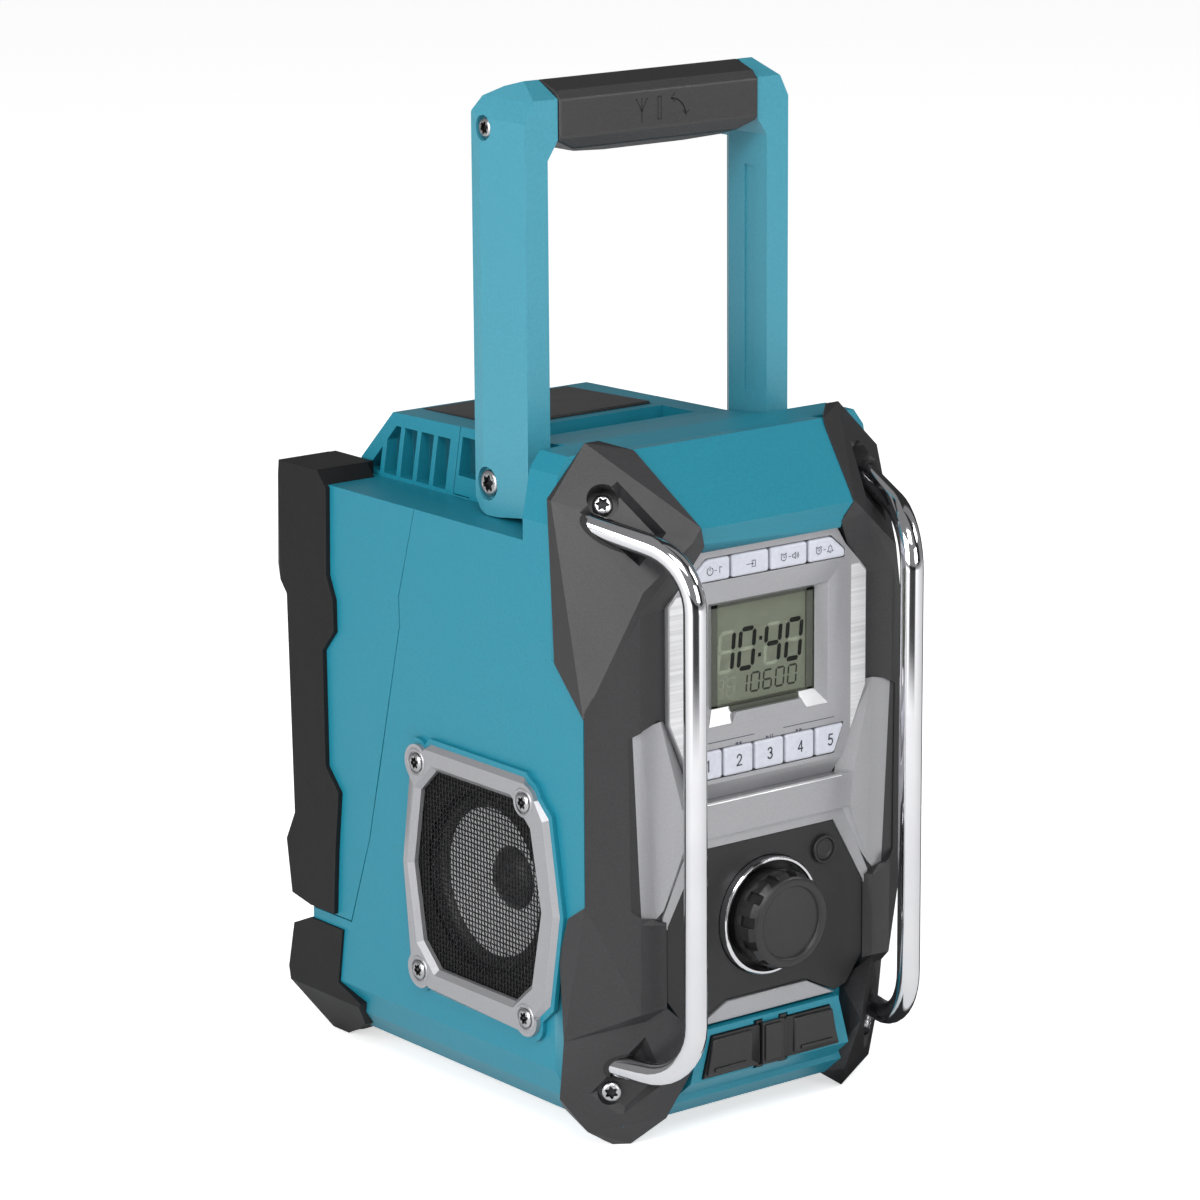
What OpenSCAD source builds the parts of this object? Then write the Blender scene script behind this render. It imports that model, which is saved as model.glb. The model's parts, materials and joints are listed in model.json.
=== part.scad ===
// Jobsite radio with guard bars, a fold-down carry handle and a rear battery door.
// Frame: X is the width, the front looks toward -Y, +Z is up. The origin is on the
// floor under the middle of the width, half way along the overall depth at rest.

/* [Casing] */
// Half of the width over the side walls
half_w = 81; // [79:0.5:86]
// Front face of the moulded shell, behind the console
front_y = -100; // [-104:0.5:-98]
// Back face of the shell and of the battery door
back_y = 99; // [96:0.5:104]
// Underside of the shell above the floor
floor_z = 9; // [7:0.5:11]
// Height of the side shelves
shelf_z = 243; // [238:0.5:250]
// Wall thickness of the mouldings
wall = 3; // [2:0.1:3.5]
// Gap between the shell and the battery door along the seam
seam_gap = 0.5; // [0.3:0.1:1]

/* [Top] */
// Half width of the raised hump between the handle arms
hump_half = 54; // [50:0.5:54.4]
// Narrowing of the hump from its foot to its top edge
hump_taper = 4.2; // [1:0.1:7]
// Height of the deck at the hump
deck_z = 271.9; // [268:0.1:276]
// Height of the brow above the console
brow_z = 278.2; // [275:0.1:280]
// Front wall of the two pockets that the handle arms turn in
pocket_y = -56; // [-60:0.5:-52]
// Half width of the trough in the deck
trough_half = 38; // [25:0.5:42]
// Length of the trough from front to back
trough_len = 21.5; // [14:0.5:26]
// Depth of the trough
trough_depth = 13; // [6:0.5:15]
// Half width of the black top panel
panel_half = 37.3; // [25:0.1:42]
// Length of the black top panel
panel_len = 56; // [40:0.5:58]
// Thickness of the black top panel
panel_t = 2.4; // [1.5:0.1:3]

/* [Console] */
// Front plane of the console
console_y = -107; // [-108:0.1:-105]
// Top edge of the console under the brow
console_top = 240.5; // [239:0.5:242]
// Lower edge of the upper console
console_low = 147; // [145:0.5:148]
// Half width of the upper console
console_half = 50.2; // [49.5:0.1:50.8]
// Half width of the display window
lcd_half = 26; // [22:0.5:28]
// Height of the display window
lcd_h = 41.2; // [36:0.2:42]
// Lower edge of the display window
lcd_z = 175.8; // [174:0.2:178]
// Thickness of the display window
lens_t = 1; // [0.8:0.1:1.4]
// Height of the silver band under the preset keys
band_h = 14.1; // [12:0.1:15]
// Lower edge of the silver band
band_z = 125.5; // [124:0.1:126]

/* [Keys] */
// Height of the four function keys
fkey_h = 9; // [7:0.1:9.4]
// Lower edge of the function keys
fkey_z = 228; // [227:0.1:229]
// Height of the five preset keys
pkey_h = 11.5; // [9:0.1:11.8]
// Lower edge of the preset keys
pkey_z = 149; // [148.8:0.1:150]
// Half width of each row of keys
row_half = 38.6; // [34:0.1:39]
// Gap between two keys
key_gap = 0.9; // [0.6:0.1:1.4]
// Clearance of a key in its window
key_fit = 0.3; // [0.2:0.05:0.5]
// How far the key tops stand proud
key_proud = 0.8; // [0.4:0.1:1.4]
// Thickness of a key
key_t = 4.8; // [3:0.1:5.2]
// Diameter of the round button
button_d = 8.6; // [7:0.1:9.5]

/* [Knob] */
// Height of the knob's axis
knob_z = 88.5; // [87:0.1:90]
// Diameter of the knob
knob_d = 39; // [34:0.5:41]
// Front face of the knob
knob_front = -121; // [-123:0.5:-118]
// Outer diameter of the ring round the knob
ring_d = 48; // [46:0.5:50]
// Width of the ring
ring_w = 1.8; // [1.2:0.1:2.4]
// Depth of the notches in the knob's rim
notch_depth = 1.6; // [0.8:0.1:2.2]
// Number of notches in the knob's rim
notches = 12; // [8:1:16]
// Diameter of the encoder shaft
shaft_d = 6; // [5:0.1:7]
// Running clearance of turning pieces, on the radius
run_fit = 0.05; // [0.02:0.01:0.1]
// How far the knob can be pushed in
push = 1.2; // [0.6:0.1:1.6]

/* [Ports] */
// Lower edge of the two port covers
port_z = 28.2; // [27:0.1:30]
// Height of the port covers
port_h = 16.6; // [14:0.1:17]
// Half width of the strap between the covers
strap_half = 5.5; // [4:0.1:6]
// Outer reach of the port covers at their lower edge
port_reach = 35; // [32:0.1:35.4]
// Thickness of the port covers
cover_t = 2.4; // [1.6:0.1:2.8]
// Bore of the audio input socket
aux_bore = 3.6; // [3.5:0.05:3.9]

/* [Speakers] */
// Distance of the speaker axis behind the part's middle
spk_y = -26; // [-28:0.5:-23]
// Height of the speaker axis
spk_z = 97; // [95:0.5:99]
// Half length of the speaker frame along Y
spk_half_y = 54; // [51:0.5:55]
// Half height of the speaker frame
spk_half_z = 52; // [49:0.5:54]
// Width of the frame's band in front of the mesh
spk_band = 11.5; // [9:0.5:14]
// Width of the frame's band behind the mesh
spk_rear = 7; // [6:0.5:9]
// How far the frame stands proud of the wall
spk_proud = 4; // [2:0.1:5]
// Outer diameter of the cone with its surround
cone_d = 76; // [68:0.5:78]
// Diameter of the dust cap
cap_d = 26; // [20:0.5:30]
// Diameter of the speaker magnet
magnet_d = 50; // [40:0.5:54]

/* [Guards] */
// Distance of the guard bars from the middle
bar_x = 54.8; // [53:0.1:56]
// Diameter of the guard bars
bar_d = 9.2; // [7:0.1:9.6]
// Front run of the guard bars, along Y
bar_y = -128.8; // [-131:0.1:-126]
// Radius of the bends in the guard bars
bend_r = 24; // [18:0.5:26]

/* [Bumpers] */
// How far the rubber stands proud of the side walls at the front
bump_side = 1.6; // [1:0.1:3]
// Height of the front bumpers' ridge
ridge_z = 281.7; // [280:0.1:284]
// How far the rubber stands proud of the side walls at the rear
rear_side = 2.2; // [1:0.1:3]
// Top of the rear bumpers where the folded handle rests
rest_z = 248.6; // [247:0.1:249]

/* [Handle] */
// Height of the handle's hinge
pivot_z = 256; // [255:0.1:257]
// Hinge of the handle along Y
pivot_y = -13; // [-14:0.1:-12]
// Inner face of the arms
arm_in = 55; // [54.7:0.1:56]
// Outer face of the arms
arm_out = 66; // [64:0.5:67]
// Top of the arms' straight part
arm_top = 407.4; // [380:0.5:420]
// Half width of the rubber grip
grip_half = 50; // [46:0.5:51]
// Diameter of the hinge pins
pin_d = 8; // [6:0.5:9]
// How far the handle folds back
fold = 88; // [80:1:88]

/* [Rear door] */
// Diameter of the door's hinge pins
hinge_d = 3; // [2:0.1:4]
// Thickness of the latch
latch_t = 5; // [4:0.5:6]
// How far the latch slides down
latch_travel = 5; // [3:0.5:6]

/* [Fasteners] */
// Head diameter of the case screws
screw_head = 8; // [6:0.1:9]
// Shank diameter of the case screws
screw_d = 4; // [3:0.1:4.4]

/* [Hidden] */
$fn = 96;
e = 0.01;
teal = "#1f7f95";
rubber = "#303032";
silver = "#a9a9ad";
white = "#dcdde6";
black = "#1d1d1f";
chrome = "#d8dade";

// Heights that several pieces share
brow_y = -82.1;
lip_y = console_y - 5.5;
strip_y = console_y - 2;
trough_y = -15;
door_z = 59.5;
chin_y = console_y - 1.5;
board_y = front_y + wall + 4;

// ---------- helpers ----------
// Moves a piece so that the origin lies half way along the overall depth
rear_reach = 113;
module place() translate([0, (bar_d / 2 - bar_y - rear_reach) / 2, 0]) children();
// Outline in Y and Z, drawn out along X
module sx(pts, x0, x1) translate([x0, 0, 0]) rotate([90, 0, 90]) linear_extrude(x1 - x0) polygon(pts);
// Outline in X and Z, drawn out along Y
module fy(pts, y0, y1) translate([0, y1, 0]) rotate([90, 0, 0]) linear_extrude(y1 - y0) polygon(pts);
// Outline in X and Y, drawn up along Z
module pz(pts, z0, z1) translate([0, 0, z0]) linear_extrude(z1 - z0) polygon(pts);
// The right half of an outline completed with its mirror image
function both(pts) = concat(pts, [for (i = [len(pts) - 1:-1:0]) [-pts[i][0], pts[i][1]]]);
// A block between two corners
module box(a, b) translate(a) cube(b - a);
// A flat-sided block that spans the given corners
module block(pts) hull() polyhedron(pts, [[for (i = [0:len(pts) - 1]) i]]);
// A rod from one point to another
module rod(a, b, r) {
    d = b - a;
    translate(a) rotate([0, acos(d.z / norm(d)), atan2(d.y, d.x)]) cylinder(h = norm(d), r = r);
}
// A cylinder along X, and one along Y
module cx(x0, x1, y, z, r) translate([x0, y, z]) rotate([0, 90, 0]) cylinder(h = x1 - x0, r = r);
module cy(y0, y1, x, z, r) translate([x, y1, z]) rotate([90, 0, 0]) cylinder(h = y1 - y0, r = r);
// The same piece on the right (s = 1) or on the left (s = -1)
module side(s) {
    if (s > 0) children();
    else mirror([1, 0, 0]) children();
}

// ---------- outer form ----------
// Plan outline of the shell: c is the depth of the front corners, o the inset
function plan(c, o) = both([[48, front_y + o], [half_w - 25, front_y + 0.22 * c + o],
    [half_w - 11 - o / 2, front_y + 0.56 * c + o / 2], [half_w - o, front_y + c],
    [half_w - o, back_y - 7], [half_w - 7 - o / 2, back_y - o]]);

module tub(o = 0, c = 26.5) {
    intersection() {
        sx([[front_y + o, floor_z + 8 + o / 2], [front_y + 9, floor_z + o], [back_y - 6, floor_z + o],
            [back_y - o, floor_z + 6 + o / 2], [back_y - o, shelf_z - o], [front_y + o, shelf_z - o]],
            -half_w + o, half_w - o);
        fy(both([[half_w - o, shelf_z + 1], [half_w - o, floor_z + 23], [half_w - 4.3 - o, floor_z + 11.3],
            [half_w - 15 - o / 2, floor_z]]), front_y - 1, back_y + 1);
        pz(plan(c, o), 0, shelf_z + 1);
    }
}

function deck_at(y) = deck_z + (brow_z - deck_z) * (trough_y - 6 - y) / (trough_y - 6 - brow_y);
hump_end = 72;

module hump(o = 0) {
    intersection() {
        sx([[pocket_y - 20, shelf_z - 2 * wall - 2], [pocket_y - 20, deck_at(pocket_y - 20) - o],
            [trough_y - 6, deck_z - o], [hump_end - o, deck_z - 2.3 - o], [hump_end + 18 - o, shelf_z + 6],
            [hump_end + 21 - o, shelf_z], [hump_end + 21 - o, shelf_z - 2 * wall - 2]],
            -hump_half, hump_half);
        fy(both([[hump_half - 2.7 * o, shelf_z - 2 * wall - 3], [hump_half - 2.7 * o, shelf_z + 2],
            [hump_half - hump_taper - 2.7 * o, deck_z], [hump_half - hump_taper - 2.7 * o, deck_z + 9]]),
            pocket_y - 31, back_y);
    }
}

module cheeks() {
    intersection() {
        sx([[front_y + 26.5, shelf_z - 1], [front_y + 26.5, brow_z - 0.8], [pocket_y, brow_z - 0.8],
            [pocket_y, shelf_z - 1]], -half_w, half_w);
        fy(both([[half_w, shelf_z - 1], [half_w, shelf_z + 8.7], [half_w - 3.6, shelf_z + 27.8],
            [half_w - 8.7, brow_z - 0.8]]), front_y, pocket_y);
    }
}

module brow() {
    intersection() {
        sx([[pocket_y, shelf_z - 12], [front_y + 6, shelf_z - 12], [front_y + 6, console_top],
            [strip_y, console_top], [strip_y - 1.2, console_top + 4.6], [lip_y, console_top + 10.4],
            [brow_y, brow_z], [pocket_y, deck_at(pocket_y)]], -60, 60);
        fy(both([[34.8, shelf_z - 13], [34.8, console_top], [35.3, console_top + 4.6],
            [38.4, console_top + 10.6], [49.2, brow_z + 0.3]]), front_y - 20, pocket_y + 1);
    }
}

module chin() {
    intersection() {
        sx([[front_y + 6, floor_z + 20], [front_y + 20, floor_z + 3], [front_y + 12.8, floor_z - 0.4],
            [chin_y, port_z - 1.2], [chin_y, port_z + port_h + 3], [front_y + 6, port_z + port_h + 3]],
            -50, 50);
        fy(both([[41.8, floor_z - 1], [41, port_z - 1], [35.4, port_z + port_h + 3]]),
            chin_y - 1, front_y + 24);
    }
}

// Full-width middle of the side walls, between the wide ends of the front bumpers
module waist() {
    intersection() {
        tub(0, 7);
        sx([[front_y + 4.5, 104.7], [front_y + 4.5, 178.5], [front_y + 23, 198.2], [front_y + 40, 198.2],
            [front_y + 40, 81.1], [front_y + 21.2, 81.1], [front_y + 15.5, 97.6]], -half_w, half_w);
    }
}

module form() {
    tub();
    waist();
    hump();
    cheeks();
    brow();
    chin();
}

// Seam between the shell and the door, as an outline in Y and Z
function seam(dy, dz) = [[25.5 + dy, 300], [25.5 + dy, shelf_z + 1 - dz], [15 + dy, shelf_z + 1 - dz],
    [26.8 + dy, 205.4], [26.6 + dy, 193], [42.2 + dy, 129.7], [50.3 + dy, 98.1], [64.3 + dy, door_z + dz],
    [back_y + 40, door_z + dz], [back_y + 40, 300]];
module behind_seam(dy = 0, dz = 0) sx(seam(dy, dz), -half_w - 20, half_w + 20);

module hollow() {
    difference() {
        union() {
            tub(wall);
            hump(wall);
            sx([[front_y + wall, shelf_z - wall - 1], [front_y + wall, shelf_z + 12],
                [brow_y + 4, brow_z - 8], [trough_y - 6, deck_z - wall - 1],
                [trough_y - 6, shelf_z - wall - 1]],
                -34.8 + wall, 34.8 - wall);
        }
        box([-trough_half - wall, trough_y - wall, deck_z - trough_depth - wall],
            [trough_half + wall, trough_y + trough_len + wall, deck_z + 1]);
    }
}

// ---------- speakers ----------
// Outline of the speaker frame or of the mesh, g inside the frame's edge
function spk_pts(g) = let (y = spk_half_y - g, r = spk_half_y - spk_band + spk_rear * (1 - g / spk_band),
    z = spk_half_z - g * 0.9, c = g * 0.35)
    [[spk_y + r, spk_z], [spk_y + r - 5.5, spk_z + z - 14 + c], [spk_y + r - 20 + c, spk_z + z],
    [spk_y - y + 22 - c, spk_z + z], [spk_y - y + 6.5, spk_z + z - 14 + c], [spk_y - y, spk_z],
    [spk_y - y + 6.5, spk_z - z + 14 - c], [spk_y - y + 22 - c, spk_z - z],
    [spk_y + r - 20 + c, spk_z - z], [spk_y + r - 5.5, spk_z - z + 14 - c]];
// Places of the four frame screws, in Y and Z
spk_screws = [[37.7, 43.2], [-33.3, 42.2], [37.7, -44], [-33.3, -46]];
grille_t = 1.2;

module speaker_frame(s) {
    color(silver) side(s) difference() {
        union() {
            sx(spk_pts(0), half_w, half_w + spk_proud);
            for (p = spk_screws)
                cx(half_w, half_w + spk_proud, spk_y + p[0], spk_z + p[1], screw_head * 0.94);
        }
        sx(spk_pts(spk_band), half_w - 1, half_w + spk_proud + 1);
        for (p = spk_screws) {
            cx(half_w - 1, half_w + 9, spk_y + p[0], spk_z + p[1], screw_d / 2 + 0.1);
            cx(half_w + spk_proud - 0.6, half_w + 9, spk_y + p[0], spk_z + p[1], screw_head / 2 + 0.5);
        }
    }
}

module speaker_grille(s) {
    color(black) side(s) sx(spk_pts(spk_band - 2), half_w - grille_t, half_w);
}

module speaker_driver(s) {
    flange = half_w - wall;
    color("dimgray") side(s) difference() {
        union() {
            sx(spk_pts(7), flange - 2, flange);
            translate([flange, spk_y, spk_z]) rotate([0, -90, 0]) rotate_extrude()
                polygon([[cone_d / 2 - 1, 1], [cone_d / 2 + 1.5, 1], [cone_d / 2 - 2, 14],
                    [magnet_d / 2 + 2, 20], [magnet_d / 2 + 2, 21], [magnet_d / 2, 21], [magnet_d / 2, 36],
                    [0, 36], [0, 20], [magnet_d / 2 - 4, 20], [cone_d / 2 - 4, 13]]);
        }
        cx(flange - 5, flange + 1, spk_y, spk_z, cone_d / 2 + 0.2 - 1.2);
        for (p = spk_screws) cx(flange - 5, flange + 1, spk_y + p[0], spk_z + p[1], screw_d / 2 + 0.1);
    }
}

module speaker_cone(s) {
    r = cone_d / 2 - 1.2;
    color("#3b3b3d") side(s) translate([half_w - wall, spk_y, spk_z]) rotate([0, -90, 0]) rotate_extrude()
        polygon([[0, 9.6], [cap_d / 4, 10], [cap_d / 2, 13.4], [r - 6.4, 3], [r - 3.2, 1.2], [r, 3],
            [r, 4.4], [r - 3.2, 2.6], [r - 6.4, 4.4], [cap_d / 2, 15.4], [0, 15.4]]);
}

module speaker_screws() {
    color(chrome) for (s = [-1, 1], p = spk_screws) side(s) {
        cx(half_w - wall - 6, half_w + spk_proud - 0.6, spk_y + p[0], spk_z + p[1], screw_d / 2);
        cx(half_w + spk_proud - 0.6, half_w + spk_proud + 1.4, spk_y + p[0], spk_z + p[1], screw_head / 2);
    }
}

// ---------- shell ----------
// Flat middle of the front wall, which is moulded apart from the casing and lies behind the console
front_half = half_w - 23;
module front_region() box([-front_half, front_y - 30, 0], [front_half, board_y, console_top - 4]);

module shell() {
    difference() {
        form();
        behind_seam();
        difference() {
            hollow();
            // shelf that carries the battery bay's floor
            box([-half_w, back_y - 34, door_z - 3.6 - wall], [half_w, back_y, door_z - 3.6]);
        }
        // trough and the front end of the top panel
        box([-trough_half, trough_y, deck_z - trough_depth],
            [trough_half, trough_y + trough_len, deck_z + 9]);
        box([-panel_half - 0.4, 12.1, deck_z - 0.9 - panel_t], [panel_half + 0.4, 40, deck_z + 9]);
        // speakers
        for (s = [-1, 1]) side(s) {
            sx(spk_pts(spk_band - 2.4), half_w - wall - 1, half_w + 1);
            for (p = spk_screws)
                cx(half_w - wall - 1, half_w + 1, spk_y + p[0], spk_z + p[1], screw_d / 2 + 0.1);
            cx(hump_half - 12, hump_half + 1, pivot_y, pivot_z, pin_d / 2);
            box([hump_half - 7, 11, shelf_z + 8.5], [hump_half + 1, 23.5, shelf_z + 24]);
        }
        // display, encoder, sockets and their wires
        box([-lcd_half - 7.3, front_y - 1, lcd_z - 6],
            [lcd_half + 7.3, front_y + wall + 1, lcd_z + lcd_h + 5]);
        cy(front_y - 1, front_y + wall + 1, 0, knob_z, 9);
        box([-27, chin_y - 1, port_z + 4], [-11, front_y + wall + 1, port_z + 13]);
        cy(chin_y - 1, front_y + wall + 1, 19.5, port_z + 8.3, 4.1);
        // pockets of the two port covers and of their hinges
        for (s = [-1, 1]) side(s) {
            fy([[strap_half, port_z - 0.4], [port_reach + 0.5, port_z - 0.4],
                [port_reach - 4.1, port_z + port_h + 0.4], [strap_half, port_z + port_h + 0.4]],
                chin_y - 1, chin_y + 1.8);
            box([strap_half - 1.4, chin_y - 1, port_z - 1.8],
                [cover_x + 1.8, chin_y + 1.8, port_z + port_h + 1.8]);
        }
        // seats of the bumper and foot screws
        for (s = [-1, 1]) side(s) {
            rod(top_screw, top_screw - 40 * face_n, screw_d / 2 + 0.05);
            rod(low_screw, low_screw - 40 * foot_n, screw_d / 2 + 0.05);
            translate(foot_screw) cylinder(h = 40, r = screw_d / 2 + 0.05);
        }
    }
}

module front_casing() {
    color(teal) intersection() {
        shell();
        front_region();
    }
}

module main_casing() {
    color(teal) difference() {
        shell();
        front_region();
    }
    // ears of the door hinge
    color(teal) for (s = [-1, 1], x = [26, 44]) side(s) difference() {
        union() {
            cx(x, x + 6, hinge_y, hinge_z, 4);
            box([x, back_y - 1, hinge_z - 4], [x + 6, hinge_y, hinge_z + 1.5]);
        }
        cx(x - 1, x + 7, hinge_y, hinge_z, hinge_d / 2);
    }
}
hinge_y = back_y + 5.5;
hinge_z = door_z - 2.5;

module battery_bay() {
    color(black) difference() {
        intersection() {
            tub(wall + 0.2);
            difference() {
                behind_seam(-3.2, -3.2);
                behind_seam(-0.2, -0.2);
            }
        }
        box([-half_w, 0, shelf_z - wall - 3], [half_w, 60, shelf_z + 9]);
    }
}

// Block with the battery's contacts, on the slope of the bay
module terminal_block() {
    color("#2b2b2d") difference() {
        sx([[40, 118], [58, 118], [58, 166], [40, 166]], -32, 32);
        for (s = [-1, 1]) side(s) box([24, 50, 117], [33, 54.5, 167]);
        difference() {
            box([-40, 0, 100], [40, 70, 180]);
            behind_seam(-0.2, -0.2);
        }
    }
    color("#b08a3a") for (x = [-15, -5, 5, 15]) box([x - 0.8, 57, 124], [x + 0.8, 62, 150]);
}

// ---------- front bumpers ----------
top_screw = [half_w - 18.1, -82.8, 259.3];
low_screw = [half_w - 14.6, -90.5, 25];
face_n = [0.53, -0.69, 0.49];
foot_n = [0.644, -0.762, -0.06];
b_out = half_w + bump_side;

module upper_block() {
    block([[half_w - 16.9, front_y + 26.5, ridge_z], [half_w - 23.6, front_y + 26.5, ridge_z],
        [50.8, -79.5, ridge_z - 2.8],
        [47.9, -83.3, ridge_z - 3.4], [b_out, front_y + 24, 262], [b_out, front_y + 26.5, 262.4],
        [38.8, -112.9, console_top + 11], [43.4, -113.6, console_top + 6],
        [34.6, -109.8, console_top + 2.4],
        [half_w - 17, -109, 229.3], [half_w - 17, -107.3, 221], [b_out, -79.8, 236.3],
        [b_out, -77.2, 198.2],
        [half_w - 4, -93.7, 182.4], [b_out, -95.2, 179.4], [50.4, -104.5, 221], [40, console_y, 233.5],
        [46.5, console_y + 0.5, 225.6], [52, front_y + 2, 215], [half_w - 11, front_y + 26, 200],
        [half_w - 11, -90, 182.4],
        [50.4, front_y + 26.5, 230]]);
}

module strip() {
    block([[b_out, -95.6, 182], [b_out, -95.4, 103], [half_w - 17, -106.9, 221], [half_w - 17, -106.7, 96],
        [50.6, -104.9, 221], [50.6, -104.9, 96], [50.6, front_y + 1, 221], [50.6, front_y + 1, 96],
        [half_w - 4, -92, 182], [half_w - 4, -92, 103]]);
}

module lower_strip() {
    block([[b_out, -84.5, 97.6], [b_out, -78.8, 81.1], [b_out, -81.2, 46.4], [b_out, -95.3, 104.7],
        [half_w - 17, -106.7, 96.5], [half_w - 17, -106.5, 60], [53, -108.6, 95], [53, -108.7, 61.2],
        [50.5, -105.6, 95],
        [50.5, -105.6, 60], [half_w - 18.5, -103.6, 98.2], [52, front_y + 1, 95], [52, front_y + 1, 50],
        [half_w - 13.6, -102.2, 102.3], [half_w - 11, front_y + 12, 104]]);
}

module foot_block() {
    block([[53, -108.7, 61.2], [47.5, -112.4, 55.2], [43, -114, 37.2], [b_out, -81.2, 46.4],
        [b_out, -78.2, 22], [half_w - 20, -84.1, 0], [55, -88.2, 0], [53.5, -86.6, 1.5],
        [half_w - 7.5, -84, 8],
        [half_w - 20, -79, 0], [half_w - 15, -76, 3.4], [42.2, -88, 8.6], [46.5, -100, 12],
        [43.5, front_y, 50],
        [b_out - 6, front_y + 28, 16], [50, front_y + 20, 9]]);
}

// Corners of the guard bar's centre line: upper end, upper bend, lower bend, lower end
bar_path = [[half_w - 12.8, -90.5, 251.2], [bar_x, bar_y, 243.5], [bar_x, bar_y, 35.5],
    [half_w - 17.5, -94, 35.5]];
function unit(v) = v / norm(v);

module bar_holes() {
    for (k = [[0, 1], [3, 2]]) {
        a = unit(bar_path[k[0]] - bar_path[k[1]]);
        rod(bar_path[k[0]] - 14 * a, bar_path[k[0]] + 0.2 * a, bar_d / 2 + 0.1);
    }
}

// Kite-shaped pockets round the bar ends and the screws
function mean(p) = [for (k = [0:2]) (p[0][k] + p[1][k] + p[2][k] + p[3][k]) / 4];
module kite(p, n, depth) {
    m = mean(p);
    block(concat([for (q = p) q + (q - m) * 0.16 + 3 * n], [for (q = p) m + (q - m) * 0.62 - depth * n]));
}
module kites() {
    kite([[half_w - 20.9, -87.7, 271.7], [half_w - 4.5, -84.2, 258.9], [half_w - 16.6, -108.6, 237.6],
        [50.4, -109.6, 251]], face_n, 8);
    kite([[half_w - 22.5, -103, 50.8], [half_w - 3.5, -85, 23], [half_w - 16.2, -94.6, 11],
        [50.6, -108, 30]], foot_n, 4.5);
}
// Front view of a wing, cleared right through the rubber in front of it
module wing_window() {
    fy([[wing_out, 102.3], [62.5, 98.2], [55.5, 97.3], [52.5, 100.1], [40, band_z - 2],
        [40, band_z + band_h + 6], [51, 175.6], [54, 176.4], [62.5, 174.2], [wing_out + 0.6, 171.2]],
        console_y - 20, front_y - 4);
}

module front_bumper(s) {
    color(rubber) side(s) difference() {
        union() {
            upper_block();
            strip();
            lower_strip();
            foot_block();
        }
        form();
        kites();
        band();
        wing();
        wing_window();
        console_form();
        panel_form();
        bar_holes();
        rod(top_screw - 20 * face_n, top_screw + 30 * face_n, screw_d / 2 + 0.05);
        rod(top_screw - 3.5 * face_n, top_screw + 30 * face_n, screw_head / 2 + 2.2);
        rod(low_screw - 20 * foot_n, low_screw + 30 * foot_n, screw_d / 2 + 0.05);
        rod(low_screw - 1.5 * foot_n, low_screw + 30 * foot_n, screw_head / 2 + 1.6);
    }
}

module bumper_screws() {
    color(chrome) for (s = [-1, 1]) side(s) {
        rod(top_screw - 18 * face_n, top_screw - 3 * face_n, screw_d / 2);
        rod(top_screw - 3.5 * face_n, top_screw - 0.5 * face_n, screw_head / 2);
        rod(low_screw - 16 * foot_n, low_screw - foot_n, screw_d / 2);
        rod(low_screw - 1.5 * foot_n, low_screw + 1.5 * foot_n, screw_head / 2);
    }
}

// Rings round a bend of the bar: each is a centre and a direction
function bend(corner, a, b, n) = let (th = acos(a * b), c = corner + unit(a + b) * (bend_r / sin(th / 2)),
    v = corner + a * (bend_r / tan(th / 2)) - c)
    [for (i = [0:n]) let (w = (180 - th) * i / n)
        [c + v * cos(w) - a * bend_r * sin(w), -v / bend_r * sin(w) - a * cos(w)]];

module guard_bar(s) {
    p = bar_path;
    up = [0, 0, 1];
    rings = concat([[p[0], unit(p[1] - p[0])]], bend(p[1], unit(p[0] - p[1]), -up, 10),
        bend(p[2], up, unit(p[3] - p[2]), 10), [[p[3], unit(p[3] - p[2])]]);
    n = 28;
    m = len(rings);
    pts = [for (k = rings, i = [0:n - 1]) let (u = unit(cross(k[1], [1, -0.3, 0])), v = cross(u, k[1]))
        k[0] + bar_d / 2 * (cos(360 * i / n) * v - sin(360 * i / n) * u)];
    color(chrome) side(s) polyhedron(pts, concat([[for (i = [n - 1:-1:0]) i]],
        [for (k = [0:m - 2], i = [0:n - 1]) let (j = (i + 1) % n, q = k * n)
            [q + i, q + j, q + n + j, q + n + i]],
        [[for (i = [0:n - 1]) (m - 1) * n + i]]));
}

// ---------- console ----------
module console_form() {
    intersection() {
        fy(both([[34.8, console_top], [39.2, 233.3], [46.5, 225.5], [console_half, 221.2],
            [console_half, 174],
            [37.6, console_low], [36, band_z + band_h]]), console_y, front_y);
        sx([[front_y, console_top], [console_y, console_top], [console_y, console_low],
            [console_y + 4, band_z + band_h], [front_y, band_z + band_h]], -60, 60);
    }
}

module console() {
    k = key_fit;
    color(silver) difference() {
        console_form();
        // display opening with its sloped rim, and the pocket behind it
        block([for (x = [-lcd_half, lcd_half], z = [lcd_z, lcd_z + lcd_h]) [x, console_y + 3.7, z],
            for (x = [-lcd_half - 4.5, lcd_half + 4.5], z = [lcd_z - 6, lcd_z + lcd_h + 2])
                [x, console_y - e, z]]);
        box([-lcd_half, console_y, lcd_z], [lcd_half, front_y + 1, lcd_z + lcd_h]);
        box([-lcd_half - 7, console_y + 3.6, lcd_z - 5.6],
            [lcd_half + 7, front_y + 1, lcd_z + lcd_h + 4.6]);
        // windows of the two key rows
        fy(both([[row_half + k, fkey_z - k], [row_half + k, fkey_z + 3.2],
            [row_half - 7 + k, fkey_z + fkey_h + k]]),
            console_y - 1, front_y + 1);
        fy(both([[row_half - 5 + k, pkey_z - k], [row_half + k, pkey_z + pkey_h + k]]),
            console_y - 1, front_y + 1);
    }
}

// Left edge of key i in a row of n keys
function key_x(i, n) = -row_half + i * (2 * row_half + key_gap) / n;

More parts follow.
